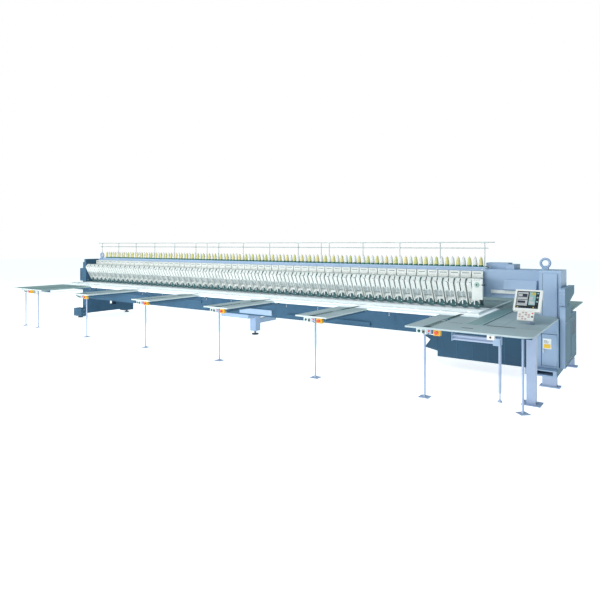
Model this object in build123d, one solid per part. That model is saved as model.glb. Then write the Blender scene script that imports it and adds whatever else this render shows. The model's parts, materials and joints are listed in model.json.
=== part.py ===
"""Multi-head embroidery machine: a row of small heads on a long beam, over a bed with extension tables.

Everything is drawn from the needle of the right-hand head: X to the right along the row, Y to the back,
Z up from the floor, in millimetres. save() moves each node so that the origin is at the middle of the
machine's footprint, on the floor.
"""
from build123d import *
import math
import os

# Row of heads
HEADS = 56
PITCH = 175
LAST_X = -PITCH * (HEADS - 1)
HEAD_XS = [-PITCH * i for i in range(HEADS)]

# Where the origin lies, from the right-hand needle
ORIGIN_X = -4370
ORIGIN_Y = -82.5

# Levels and outlines of the tables
TABLE_TOP = 882
TABLE_THICK = 20
TABLE_UNDER = TABLE_TOP - TABLE_THICK
FRONT_Y = -2150
BACK_Y = 1985
BED_FRONT_Y = -966
BED_BACK_Y = 150
BED_LEFT_X = -9700
BED_RIGHT_X = 285
RIGHT_TABLE_X = 1165
CORNER_R = 120
SLOT_WIDTH = 64

# Stations: the middle of each sash drive slot, and its table strip
ARM_WIDTH = 500
ARM_XS = [-7010, -5195, -3390, -1615]
RIGHT_SLOT_X = 0
LEFT_TABLE_X0, LEFT_TABLE_X1 = -9655, -8470
LEFT_SLOT_X = -8900
SLOT_XS = [LEFT_SLOT_X] + ARM_XS + [RIGHT_SLOT_X]
STATION_Y = -2122
LEFT_STATION_X = -9060
STATION_XS = [LEFT_STATION_X] + ARM_XS + [RIGHT_SLOT_X]

# Upper beam
BEAM_Y0, BEAM_Y1 = 50, 500
BEAM_Z0, BEAM_Z1 = 1060, 1480
BEAM_LEFT_X, BEAM_RIGHT_X = -9710, 900
WALL = 12
EYE_XS = (912, -9662)

# Lower beam and its deep part beside the tower
LOWER_Y = 350
LOWER_Z0, LOWER_Z1 = 490, 760
LOWER_LEFT_X = -9648
DEEP_X0, DEEP_X1 = -470, 779
DEEP_Y0, DEEP_Y1 = -430, 400
DEEP_Z0 = 180

# Right-hand tower
TOWER_X0, TOWER_X1 = 780, 1165
TOWER_Y0, TOWER_Y1 = -450, 850
TOWER_Z0, TOWER_Z1 = 215, 860
HOUSING_X0, HOUSING_X1 = 901, 1170
HOUSING_Y0, HOUSING_Y1 = -280, 149
HOUSING_BACK_Y = 232
HOUSING_Z1 = 1495
WEDGE_X1 = 1240
SHEET = 4
DOOR_X0, DOOR_X1 = 966, 1150
DOOR_Z0, DOOR_Z1 = 250, 660

# Shafts and belts
UPPER_SHAFT = (135, 1300)
LOWER_SHAFT = (8, 825)
SHAFT_R = 12
RUNNING_FIT = 0.05
HOOK_R = 28
HOOK_FIT = 0.02
MOTOR_AXIS = (-90, 1150)
HOOK_BELT_X = 960
MOTOR_BELT_X = 1010
BELT_WIDTH = 20
BELT_THICK = 3
BELT_GAP = 0.4
Y_SHAFT = (-560, 806)
Y_SHAFT_R = 9
Y_PULLEY_R = 24
Y_IDLER_Y = -2030

# Heads
NEEDLE_UP = 895
NEEDLE_LENGTH = 45
BAR_R = 5
FOOT_ROD_R = 3
FOOT_ROD_Y = 13
CASE_HALF = 76
RIB = 12
TAKE_UP_PIVOT = (-150, 1275)
TAKE_UP_SLOT = 8

# Colour selector on the right-hand head
SELECTOR_X, SELECTOR_Z = 80, 1265
SELECTOR_FRONT = -332

# Thread stand
SHELF_TOP = 1508
SHELF_LEFT_X = -9540
POST_Y = 189
POST_R = 6
POST_BAY = 700
POST_X0 = 54
POSTS = 15
EXTRA_POST_XS = [POST_X0 - 4.25 * POST_BAY, POST_X0 - 8.5 * POST_BAY]
TOP_RAIL_Z = 1883
LOW_RAIL_Z = 1793
CONE_Y = 120
CONE_SHIFT = 15
CONE_BASE_R = 40
CONE_BASE_HEIGHT = 24
CONE_HEIGHT = 118
LEG_R = 13

# Sash (pantograph) frame
SASH_X0, SASH_X1 = -9737, 230
SASH_Y0, SASH_Y1 = -762, 1190
SASH_BAR = 40
SASH_Z0 = TABLE_TOP + 1.5
SASH_Z1 = SASH_Z0 + 20

# Notch in the left-hand upright that the sash's end bar runs in
NOTCH_Z0, NOTCH_Z1 = 878, 910

# Operator panel
PANEL_PIVOT = (952, -1155, 1006)
PANEL_TILT = 38


def block(x0, x1, y0, y1, z0, z1):
    """A box from its low and high corner."""
    middle = Pos((x0 + x1) / 2, (y0 + y1) / 2, (z0 + z1) / 2)
    return middle * Box(x1 - x0, y1 - y0, z1 - z0)


def tube_box(x0, x1, y0, y1, z0, z1, wall):
    """A rectangular section running along X, open at both ends."""
    outer = block(x0, x1, y0, y1, z0, z1)
    return outer - block(x0 - 1, x1 + 1, y0 + wall, y1 - wall, z0 + wall, z1 - wall)


ON_BASE = (Align.CENTER, Align.CENTER, Align.MIN)


def rod_z(x, y, z0, z1, r):
    return Pos(x, y, z0) * Cylinder(r, z1 - z0, align=ON_BASE)


def rod_x(x0, x1, y, z, r):
    return Pos(x0, y, z) * Rot(0, 90, 0) * Cylinder(r, x1 - x0, align=ON_BASE)


def rod_y(x, y0, y1, z, r):
    return Pos(x, y0, z) * Rot(-90, 0, 0) * Cylinder(r, y1 - y0, align=ON_BASE)


def side_profile(points, x0, x1):
    """A solid with an outline given in (y, z), running from x0 to x1."""
    face = Plane.YZ * make_face(Polyline(points, close=True))
    return Pos(x0, 0, 0) * extrude(face, amount=x1 - x0)


def front_profile(points, y0, y1):
    """A solid with an outline given in (x, z), running from y0 back to y1."""
    face = Plane.XZ * make_face(Polyline(points, close=True))
    return Pos(0, y1, 0) * extrude(face, amount=y1 - y0)


def slab(points, z0, z1):
    """A plate with an outline given in (x, y)."""
    return Pos(0, 0, z0) * extrude(make_face(Polyline(points, close=True)), amount=z1 - z0)


def row(shape, xs=HEAD_XS):
    """A copy of one piece at each place along the machine."""
    return [Pos(x, 0, 0) * shape for x in xs]


def save(name, shapes):
    """Move the node's solids to the machine's origin and write them."""
    solids = [s for shape in (shapes if isinstance(shapes, list) else [shapes]) for s in shape.solids()]
    moved = [Pos(-ORIGIN_X, -ORIGIN_Y, 0) * s for s in solids]
    export_step(moved[0] if len(moved) == 1 else Compound(children=moved), f"parts/{name}.step")


# ---- Frame ----

def lower_beam():
    """Long box beam, with two walls on it that carry the bed."""
    beam = tube_box(LOWER_LEFT_X, DEEP_X0 - 1, -LOWER_Y, LOWER_Y, LOWER_Z0, LOWER_Z1, WALL)
    walls = [block(LOWER_LEFT_X, TOWER_X0 - 1, y, y + WALL, LOWER_Z1, TABLE_UNDER)
             for y in (-LOWER_Y, LOWER_Y - WALL)]
    return [beam] + walls


def deep_section():
    """Deep box beside the tower, with a pointed gusset on its left end."""
    box = tube_box(DEEP_X0, DEEP_X1, DEEP_Y0, DEEP_Y1, DEEP_Z0, LOWER_Z1, WALL)
    gusset = front_profile([(DEEP_X0 - 1, LOWER_Z0 - 1), (DEEP_X0 - 230, LOWER_Z0 - 1), (DEEP_X0 - 110, 420),
                            (DEEP_X0 - 200, 300), (DEEP_X0 - 1, 262)], DEEP_Y0, DEEP_Y0 + WALL)
    return [box, gusset]


def left_end_stand():
    """Left-hand stand with a window and foot beams, and its upright, notched for the sash's end bar."""
    plate = block(-9850, -9650, -305, 800, 110, 861)
    window = block(-9900, -9600, 355, 545, 265, 385)
    recess = block(-9658, -9600, -215, -155, 250, 310)
    sill = block(-9850, -9715, -300, 420, 861, NOTCH_Z0)
    back_wall = block(-9850, -9805, -300, 420, NOTCH_Z0, NOTCH_Z1)
    upright = block(-9850, -9715, -300, 420, NOTCH_Z1, 1405)
    cap = block(-9790, -9715, -300, 420, 1405, 1480)
    housing = block(-9980, -9850, -300, 250, 920, 1244)
    front_foot = block(-9980, -9650, -470, -305, 40, 235)
    rear_foot = block(-9850, -9650, 800, 1090, 60, 300)
    pockets = [block(-9851, -9665, y0, y1, 140, 830) for y0, y1 in ((-275, 290), (570, 770))]
    stand = plate - window - recess - pockets + front_foot + rear_foot
    return [stand, sill, back_wall, upright + cap + housing]


def center_leg():
    """Middle support: a wide box under the beam, a tapered post and a bar to the rear."""
    box = block(-4960, -4250, -LOWER_Y, LOWER_Y, 415, LOWER_Z0)
    head = front_profile([(-4700, 415), (-4440, 415), (-4495, 350), (-4645, 350)], 170, 320)
    post = block(-4645, -4495, 170, 320, 80, 350)
    rear_bar = block(-4610, -4530, 320, 900, 225, 315)
    end = block(-4250, -4100, 170, 320, 415, LOWER_Z0)
    return box + head + post + rear_bar + end


def tower_base():
    """Base frame of the tower: a box channel, open to the front under the door."""
    base = block(DEEP_X1 + 1, TOWER_X1, -600, 875, 130, TOWER_Z0)
    return base - block(900, 1120, -700, 0, 150, 200)


def tower_frame():
    """Tower's lower casing, open at the top for the belts and at the front behind the door."""
    shell = block(TOWER_X0, TOWER_X1, TOWER_Y0, TOWER_Y1, TOWER_Z0, TOWER_Z1)
    shell -= block(TOWER_X0 + WALL, TOWER_X1 - WALL, TOWER_Y0 + WALL, TOWER_Y1 - WALL,
                   TOWER_Z0 + WALL, TOWER_Z1 + 1)
    shell -= block(DOOR_X0 + 10, DOOR_X1 - 10, TOWER_Y0 - 1, TOWER_Y0 + WALL + 1, DOOR_Z0 + 10, DOOR_Z1 - 10)
    shaft_hole = rod_x(TOWER_X0 - 1, TOWER_X0 + WALL + 1, *LOWER_SHAFT, 2 * SHAFT_R)
    return shell - shaft_hole


def tower_upper():
    """Tower's upper casing, open at the bottom, closed round the end of the beam."""
    shell = block(HOUSING_X0, HOUSING_X1, HOUSING_Y0, HOUSING_BACK_Y, TABLE_TOP, HOUSING_Z1)
    shell += block(HOUSING_X0, HOUSING_X1, HOUSING_Y0, HOUSING_Y1, TOWER_Z1, TABLE_TOP)
    shell -= block(HOUSING_X0 + SHEET, HOUSING_X1 - SHEET, HOUSING_Y0 + SHEET, HOUSING_BACK_Y - SHEET,
                   TABLE_TOP + 1, HOUSING_Z1 - SHEET)
    shell -= block(HOUSING_X0 + SHEET, HOUSING_X1 - SHEET, HOUSING_Y0 + SHEET, HOUSING_Y1 - SHEET,
                   TOWER_Z1 - 1, TABLE_TOP + 2)
    return shell - rod_x(HOUSING_X0 - 1, HOUSING_X0 + SHEET + 1, *UPPER_SHAFT, 2 * SHAFT_R)


def tower_covers():
    """Flat cover on the tower's front, and the wedge-shaped cover and casing on its right side."""
    column = block(950, 1125, HOUSING_Y0 - 20, HOUSING_Y0, TABLE_TOP, 1458)
    wedge = side_profile([(-450, 1070), (-450, 1255), (-425, 1275), (470, 1262), (470, 1145), (-200, 1032),
                          (-420, 1040)], HOUSING_X1, WEDGE_X1)
    casing = block(HOUSING_X1 + 1, WEDGE_X1 - 3, -380, 146, TOWER_Z0, 1029)
    casing += block(HOUSING_X1 + 1, WEDGE_X1 - 3, 146, 730, TOWER_Z0, 858)
    return [column, wedge, casing]


def upper_beam():
    """Long box beam that carries the heads, open inside for the upper shaft."""
    return tube_box(BEAM_LEFT_X, BEAM_RIGHT_X, BEAM_Y0, BEAM_Y1, BEAM_Z0, BEAM_Z1, WALL)


def beam_covers():
    """Two raised covers on the beam's right end, the bulged front cover and the light strip under it."""
    tall = block(60, 388, 240, BEAM_Y1, BEAM_Z1, 1570)
    short = block(389, 500, 100, BEAM_Y1, BEAM_Z1, 1552)
    bulge = side_profile([(BEAM_Y0, 1180), (BEAM_Y0, 1330), (20, 1330), (-35, 1195), (-20, 1180)], 375, 820)
    strip = block(185, 860, 20, BEAM_Y0, 1124, 1178)
    return [tall, short, bulge, strip]


def lifting_eyes():
    """Lifting ring on a base block at each end of the beam."""
    def eye(x, z0):
        base = block(x - 42, x + 42, 90, 170, z0, z0 + 30)
        ring = Pos(x, 130, z0 + 88) * Rot(90, 0, 0) * Torus(60, 18)
        neck = block(x - 20, x + 20, 112, 148, z0 + 28, z0 + 50)
        return base + neck + ring
    packing = block(EYE_XS[0] - 42, BEAM_RIGHT_X - 0.5, 90, 170, BEAM_Z1, HOUSING_Z1)
    return [eye(EYE_XS[0], HOUSING_Z1) + packing, eye(EYE_XS[1], BEAM_Z1)]


# ---- Thread stand ----

CONE_XS = [x + CONE_SHIFT for x in HEAD_XS[:-1]]


def post_xs():
    return [POST_X0 - POST_BAY * i for i in range(POSTS)] + EXTRA_POST_XS


def thread_shelf():
    return block(SHELF_LEFT_X, 100, 62, 238, BEAM_Z1, SHELF_TOP)


def thread_stand():
    """Posts on flanges with a top rail resting on them and a guide rail clamped in front."""
    posts = []
    for x in post_xs():
        base_z = SHELF_TOP if x > SHELF_LEFT_X else BEAM_Z1
        flange = rod_z(x, POST_Y, base_z, base_z + 8, 20)
        posts.append(rod_z(x, POST_Y, base_z, TOP_RAIL_Z - POST_R, POST_R) + flange)
    top = rod_x(-9900, 205, POST_Y, TOP_RAIL_Z, POST_R)
    low = rod_x(-9800, 110, POST_Y - 2 * POST_R, LOW_RAIL_Z, POST_R)
    return posts + [top, low]


def cone_pins():
    """One tapered base and spindle for each thread cone."""
    pin = Pos(0, CONE_Y, SHELF_TOP) * Cone(CONE_BASE_R, CONE_BASE_R - 6, CONE_BASE_HEIGHT, align=ON_BASE)
    pin += rod_z(0, CONE_Y, SHELF_TOP, SHELF_TOP + CONE_BASE_HEIGHT + CONE_HEIGHT + 14, 4)
    return row(pin, CONE_XS) + row(Pos(-PITCH / 2, 0, 0) * pin, CONE_XS[:-1])


def cone():
    """Wound thread cone with a bore for its spindle."""
    z0 = SHELF_TOP + CONE_BASE_HEIGHT
    z1 = z0 + CONE_HEIGHT
    outline = [(9, z0), (32, z0), (32, z0 + 6), (17, z1 - 8), (12, z1), (9, z1)]
    face = Plane.XZ * make_face(Polyline(outline, close=True))
    return Pos(0, CONE_Y, 0) * revolve(face, Axis.Z)


# ---- Heads ----

def head_arm():
    """Bracket that carries one head on the beam."""
    return block(-42, 42, 21, BEAM_Y0, BEAM_Z0 + 20, 1424)


def needle_case():
    """Head casing: two side ribs, a split hood over the take-up lever, guides and a bracketed foot."""
    rib_outline = [(20, 1425), (-4, 1425), (-4, 1350), (-265, 1350), (-322, 1280), (-157, 958), (20, 958)]
    hood_outline = [(-20, 1350), (-265, 1350), (-322, 1280), (-283, 1204), (-277, 1207), (-314, 1280),
                    (-262, 1343), (-20, 1343)]
    face_outline = [(-236, 1150), (-230, 1153), (-189, 1073), (-195, 1070)]
    foot_outline = [(-50, 956), (108, 956), (98, 929), (74, 905), (-16, 905), (-40, 929)]
    inner = CASE_HALF - RIB
    case = side_profile(rib_outline, -CASE_HALF, -inner) + side_profile(rib_outline, inner, CASE_HALF)
    case += side_profile(hood_outline, -inner, -TAKE_UP_SLOT)
    case += side_profile(hood_outline, TAKE_UP_SLOT, inner)
    case += block(-TAKE_UP_SLOT, TAKE_UP_SLOT, -262, -20, 1343, 1350)
    case += side_profile(face_outline, -inner, inner)
    case += block(CASE_HALF, CASE_HALF + 22, -140, -45, 950, 1050) + front_profile(foot_outline, -152, -45)
    guide = block(-inner, inner, -160, 20, 962, 1060)
    guide -= rod_z(0, 0, 900, 1100, BAR_R + RUNNING_FIT)
    guide -= rod_z(0, FOOT_ROD_Y, 900, 1100, FOOT_ROD_R + RUNNING_FIT)
    top_guide = block(-inner, inner, -20, 20, 1290, 1315)
    top_guide -= rod_z(0, 0, 1200, 1400, BAR_R + RUNNING_FIT)
    return case + guide + top_guide


def selector_cover():
    """Flat cover of the colour selector, in front of the right-hand head's nose and round its right side."""
    front = block(TAKE_UP_SLOT + 2, 164, SELECTOR_FRONT, -302, 1050, 1350)
    side = block(CASE_HALF, CASE_HALF + RIB, SELECTOR_FRONT, 15, 1050, 1350)
    return front + side


def head_cases():
    """All head casings, the right-hand one with its flat cover."""
    first, *others = row(needle_case())
    return [first + selector_cover()] + others


def tension_panel():
    """Upright thread tension panel on top of the head."""
    outline = [(30, 1449), (30, 1430), (-8, 1430), (-8, 1352), (-18, 1352), (-18, 1449)]
    return side_profile(outline, -80, 80)


def take_up_lever():
    """Lever that works in the slot of the hood."""
    y, z = TAKE_UP_PIVOT
    arm = side_profile([(y - 2, z - 8), (y - 172, z + 18), (y - 172, z + 30), (y - 2, z + 10)], -2, 2)
    return rod_x(-24, 24, y, z, 12) + arm


def needle_bar():
    """Needle bar, clamp and needle at the top of the stroke."""
    needle = rod_z(0, 0, NEEDLE_UP + 6, NEEDLE_UP + NEEDLE_LENGTH, 1)
    needle += Pos(0, 0, NEEDLE_UP + 3) * Cone(0.3, 1, 6)
    return rod_z(0, 0, NEEDLE_UP + NEEDLE_LENGTH, 1400, BAR_R) + needle


def presser_foot():
    """Rod with a ring foot round the needle."""
    ring = rod_z(0, 0, 890, 893, 9) - rod_z(0, 0, 880, 900, 3.5)
    toe = block(-3, 3, 7, FOOT_ROD_Y + 3, 890, 893)
    return rod_z(0, FOOT_ROD_Y, 890, 1090, FOOT_ROD_R) + ring + toe


def needle_plate():
    """Steel plate let into the bed, with the needle hole."""
    plate = block(-40, 40, -35, 35, TABLE_TOP - 4, TABLE_TOP)
    return plate - rod_z(0, 0, 850, 900, 2)


def selector_dial():
    """Round dial with a lever, on the flat cover of the right-hand head."""
    x, y, z = SELECTOR_X, SELECTOR_FRONT, SELECTOR_Z
    dial = rod_y(x, y - 14, y - 0.5, z, 28)
    lever = block(x, x + 122, y - 14, y - 8, z - 4, z + 4)
    return dial + lever


# ---- Bed and tables ----

def slot_cut(x, y0, y1):
    return block(x - SLOT_WIDTH / 2, x + SLOT_WIDTH / 2, y0, y1, TABLE_UNDER - 1, TABLE_TOP + 1)


def bed_table():
    """Bed under the heads, recessed for the needle plates and slotted for the sash drives."""
    bed = block(BED_LEFT_X, BED_RIGHT_X, BED_FRONT_Y, BED_BACK_Y, TABLE_UNDER, TABLE_TOP)
    bed -= [slot_cut(x, BED_FRONT_Y - 1, -400) for x in SLOT_XS]
    bed -= row(block(-40, 40, -35, 35, TABLE_TOP - 4, TABLE_TOP + 1))
    bed -= row(rod_z(0, 0, TABLE_UNDER - 1, TABLE_TOP, 12))
    return bed


def right_table():
    """Large table round the tower's front, with a rounded outer corner."""
    notch_x = 900
    outline = [(-ARM_WIDTH / 2, FRONT_Y), (RIGHT_TABLE_X, FRONT_Y), (RIGHT_TABLE_X, -470), (1130, -470),
               (1130, -302), (notch_x, -302), (notch_x, BED_BACK_Y), (BED_RIGHT_X, BED_BACK_Y),
               (BED_RIGHT_X, BED_FRONT_Y), (-ARM_WIDTH / 2, BED_FRONT_Y)]
    table = slab(outline, TABLE_UNDER, TABLE_TOP)
    corner = table.edges().filter_by(Axis.Z).sort_by_distance((RIGHT_TABLE_X, FRONT_Y, TABLE_TOP))[0]
    table = fillet(corner, CORNER_R)
    return table - slot_cut(RIGHT_SLOT_X, -2060, BED_FRONT_Y + 1)


def left_table():
    table = block(LEFT_TABLE_X0, LEFT_TABLE_X1, FRONT_Y + 30, BED_FRONT_Y, TABLE_UNDER, TABLE_TOP)
    return table - slot_cut(LEFT_SLOT_X, -2060, BED_FRONT_Y + 1)


def arm_tables():
    """Extension arms, each a plate with the sash drive slot down its middle."""
    arm = block(-ARM_WIDTH / 2, ARM_WIDTH / 2, FRONT_Y + 20, BED_FRONT_Y, TABLE_UNDER, TABLE_TOP)
    arm -= slot_cut(0, -2060, BED_FRONT_Y + 1)
    return row(arm, ARM_XS)


def rear_table():
    """Table behind the machine, notched round the tower's upper casing."""
    table = block(LEFT_TABLE_X0, 1190, BED_BACK_Y, BACK_Y, TABLE_UNDER, TABLE_TOP)
    return table - block(LEFT_TABLE_X0 - 1, -9640, BED_BACK_Y - 1, 430, 0, 1000)


def slide_cover():
    """Low cover strip over the sash's crosswise drive."""
    return block(318, 520, -1600, 350, TABLE_TOP, TABLE_TOP + 10)


def leg(x, y, top=TABLE_UNDER):
    """Thin tube leg on a square base plate."""
    return rod_z(x, y, 0, top, LEG_R) + block(x - 65, x + 65, y - 65, y + 65, 0, 6)


def table_column():
    """Channel column under the right-hand table, on a base plate."""
    web = block(980, 1080, -1520, -1512, 8, TABLE_UNDER)
    flanges = [block(x, x + 8, -1512, -1430, 8, TABLE_UNDER) for x in (980, 1072)]
    base = block(930, 1140, -1580, -1370, 0, 8)
    return web + flanges[0] + flanges[1] + base


def table_legs():
    spots = [(-9622, -1862), (-9110, -1850), (-7136, -1920), (-5320, -1920), (-3503, -1920), (-1673, -1920),
             (-90, -1920)]
    legs = [leg(x, y) for x, y in spots]
    diamond = rod_z(1020, -1903, 0, TABLE_UNDER, LEG_R)
    diamond += Pos(1020, -1903, 3) * Rot(0, 0, 45) * Box(120, 120, 6)
    screw = rod_z(710, -1613, 105, TABLE_UNDER, 17) + rod_z(710, -1613, 30, 105, 8)
    screw += Pos(710, -1613, 15) * Cone(32, 12, 30)
    return legs + [diamond, screw, table_column()]


def machine_feet():
    """Levelling feet with a pad, a stem and a locknut each, and the tower's two wide shoes."""
    def foot(x, y, top, pad):
        return rod_z(x, y, 0, 22, pad) + rod_z(x, y, 0, top, 14) + rod_z(x, y, top - 26, top - 6, 24)
    def shoe(x, y):
        plate = block(x - 122, x + 122, y - 70, y + 70, 0, 14)
        return plate + block(x - 90, x + 80, y - 45, y + 45, 14, 129.5)
    return [foot(-4570, 245, 80, 70), foot(-9750, 950, 60, 60), foot(-9815, -388, 40, 60),
            shoe(1082, -550), shoe(1118, 850)]


# ---- Drives ----

def belt(a, ra, b, rb, x):
    """Closed belt round two wheels on X axes, a hair clear of both."""
    def loop(extra):
        rims = [Pos(c[0], c[1]) * Circle(r + BELT_GAP + extra) for c, r in ((a, ra), (b, rb))]
        return make_hull(rims[0].edges() + rims[1].edges())
    ring = loop(BELT_THICK) - loop(0)
    return Pos(x - BELT_WIDTH / 2, 0, 0) * extrude(Plane.YZ * ring, amount=BELT_WIDTH)


def wheel(axis, r, x, width=BELT_WIDTH + 4):
    return rod_x(x - width / 2, x + width / 2, *axis, r)


def upper_shaft():
    shaft = rod_x(-9650, 1040, *UPPER_SHAFT, SHAFT_R)
    return shaft + wheel(UPPER_SHAFT, 80, HOOK_BELT_X) + wheel(UPPER_SHAFT, 60, MOTOR_BELT_X)


def lower_shaft():
    return rod_x(-9640, 1000, *LOWER_SHAFT, SHAFT_R) + wheel(LOWER_SHAFT, 40, HOOK_BELT_X)


def rotary_hook():
    """Hook drum on the lower shaft, with its beak cut."""
    y, z = LOWER_SHAFT
    drum = rod_x(-10, 10, y, z, HOOK_R) - rod_x(-11, 11, y, z, SHAFT_R + HOOK_FIT)
    return drum - block(-11, 3, y + 6, y + 40, z + 14, z + 40)


def shaft_bearings():
    """Pillow blocks of both long shafts between the heads, and hangers of the sash drive shaft."""
    blocks = []
    for i in range(4, HEADS, 10):
        x = -PITCH * (i + 0.5)
        y, z = UPPER_SHAFT
        upper = block(x - 20, x + 20, y - 30, y + 30, BEAM_Z0 + WALL, z + 30)
        blocks.append(upper - rod_x(x - 21, x + 21, y, z, SHAFT_R + RUNNING_FIT))
        y, z = LOWER_SHAFT
        lower = block(x - 13, x + 13, y - 38, y + 38, LOWER_Z1, z + 25)
        blocks.append(lower - rod_x(x - 14, x + 14, y, z, SHAFT_R + RUNNING_FIT))
    y, z = Y_SHAFT
    hanger = block(40, 56, y - 18, y + 18, z - 18, TABLE_UNDER) - rod_x(39, 57, y, z, Y_SHAFT_R + RUNNING_FIT)
    return blocks + row(hanger, SLOT_XS)


def main_motor():
    """Servo motor in the tower, its body held on the right-hand wall."""
    y, z = MOTOR_AXIS
    body = rod_x(1030, HOUSING_X1 - SHEET, y, z, 62)
    return body - rod_x(1029, 1080, y, z, 11)


def motor_pulley():
    y, z = MOTOR_AXIS
    return rod_x(990, 1075, y, z, 10) + wheel(MOTOR_AXIS, 40, MOTOR_BELT_X)


def drive_belts():
    """Main belt, hook belt and one long belt in each sash drive slot."""
    main_belt = belt(MOTOR_AXIS, 40, UPPER_SHAFT, 60, MOTOR_BELT_X)
    hook_belt = belt(UPPER_SHAFT, 80, LOWER_SHAFT, 40, HOOK_BELT_X)
    idler = (Y_IDLER_Y, Y_SHAFT[1])
    return [main_belt, hook_belt] + [belt(Y_SHAFT, Y_PULLEY_R, idler, Y_PULLEY_R, x) for x in SLOT_XS]


def y_drive_shaft():
    """Shaft across the machine with a pulley under each slot."""
    shaft = rod_x(LEFT_SLOT_X - 60, 300, *Y_SHAFT, Y_SHAFT_R)
    for x in SLOT_XS:
        shaft += wheel(Y_SHAFT, Y_PULLEY_R, x)
    return shaft


def y_idlers():
    """Idler wheel at the far end of each slot, with its yoke under the table."""
    y, z = Y_IDLER_Y, Y_SHAFT[1]
    cheek = block(13, 16, y - 20, y + 20, z - 14, TABLE_UNDER)
    cheek += block(13, 46, y - 20, y + 20, TABLE_UNDER - 4, TABLE_UNDER)
    yoke = cheek + mirror(cheek, Plane.YZ)
    return row(yoke + wheel((y, z), Y_PULLEY_R, 0, 26), SLOT_XS)


def y_carriages():
    """Slider in each slot, gripping the belt below and carrying the sash above."""
    top_run = Y_SHAFT[1] + Y_PULLEY_R + BELT_GAP + BELT_THICK
    slider = block(-28, 28, -1240, SASH_Y0 + SASH_BAR, TABLE_UNDER + 4, SASH_Z0 - 1)
    grip = block(-10, 10, -1100, -1000, top_run + 0.4, TABLE_UNDER + 4)
    return row(slider + grip, SLOT_XS)


def sash_frame():
    """Long rectangular frame that carries the cloth, of four bars, with clamp lugs on the front one."""
    inner_x0, inner_x1 = SASH_X0 + SASH_BAR, SASH_X1 - SASH_BAR
    inner_y0, inner_y1 = SASH_Y0 + SASH_BAR, SASH_Y1 - SASH_BAR
    front = block(SASH_X0, SASH_X1, SASH_Y0, inner_y0, SASH_Z0, SASH_Z1)
    rear = block(SASH_X0, SASH_X1, inner_y1, SASH_Y1, SASH_Z0, SASH_Z1)
    left = block(SASH_X0, inner_x0, inner_y0, inner_y1, SASH_Z0, SASH_Z1)
    right = block(inner_x1, SASH_X1, inner_y0, inner_y1, SASH_Z0, SASH_Z1)
    lug_xs = [SASH_X0 + 350 * i for i in range(1, 28)]
    lugs = row(block(-17, 17, inner_y0, inner_y0 + 30, SASH_Z0, SASH_Z0 + 12), lug_xs)
    return [front + lugs, rear, left, right]


# ---- Controls ----

def switch_boxes():
    """Bracket and start-stop box under the front of each station."""
    bracket = block(-190, -120, STATION_Y + 30, STATION_Y + 70, 815, TABLE_UNDER)
    box = block(-119, 60, STATION_Y, STATION_Y + 50, 798, TABLE_UNDER)
    return row(bracket, STATION_XS) + row(box, STATION_XS)


def estop_boxes():
    """Emergency stop box of each station, with a hole that its button's stem slides in."""
    box = block(90, 170, STATION_Y, STATION_Y + 55, 792, TABLE_UNDER)
    return row(box - rod_y(130, STATION_Y - 1, STATION_Y + 12, 826, 12.5), STATION_XS)


def estop_button(x):
    """Mushroom button standing out of its box towards the front."""
    head = rod_y(x + 130, STATION_Y - 26, STATION_Y - 12, 826, 20)
    return head + rod_y(x + 130, STATION_Y - 12, STATION_Y - 0.5, 826, 11)


def start_lever(x):
    """Small start-stop rocker on the switch box."""
    y, z = STATION_Y - 5, 826
    return rod_x(x - 40, x - 16, y, z, 4) + block(x - 38, x - 18, y - 9, y - 1, z - 14, z + 14)


def panel_post():
    """Swivelling post with a fork for the panel."""
    x, y, z = PANEL_PIVOT
    post = rod_z(x, y, TABLE_TOP + 0.5, TABLE_TOP + 8, 50) + rod_z(x, y, TABLE_TOP + 8, z - 30, 20)
    head = block(x - 27, x + 27, y - 20, y + 20, z - 50, z - 28)
    ears = [block(x + s - 6, x + s + 6, y - 20, y + 14, z - 30, z + 14) for s in (-21, 21)]
    return post + head + ears[0] + ears[1] - rod_x(x - 30, x + 30, y, z, 6 + RUNNING_FIT)


def control_panel():
    """Operator panel: housing with a raised screen, keypad apron and a pivot lug, tilted back."""
    housing = fillet(block(-190, 124, -66, -30, -8, 300).edges().filter_by(Axis.Y), 10)
    screen = block(-166, 92, -70, -66, 30, 278)
    keypad = block(-128, 58, -62, -42, -134, -9)
    pin = rod_x(-26, 26, 0, 0, 6)
    lug = block(-14, 14, -30, 7, -8, 8)
    return [Pos(*PANEL_PIVOT) * Rot(-PANEL_TILT, 0, 0) * s for s in (housing + pin + lug, screen, keypad)]


def cabinet_door():
    """Door of the electrical cabinet on the tower's front."""
    door = block(DOOR_X0, DOOR_X1 - 8, TOWER_Y0 - 14, TOWER_Y0 - 1, DOOR_Z0, DOOR_Z1)
    knuckle = rod_z(DOOR_X1, TOWER_Y0 - 8, DOOR_Z0 + 30, DOOR_Z1 - 30, 6)
    strap = block(DOOR_X1 - 10, DOOR_X1, TOWER_Y0 - 12, TOWER_Y0 - 4, DOOR_Z0 + 40, DOOR_Z1 - 40)
    return door + knuckle + strap


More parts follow.
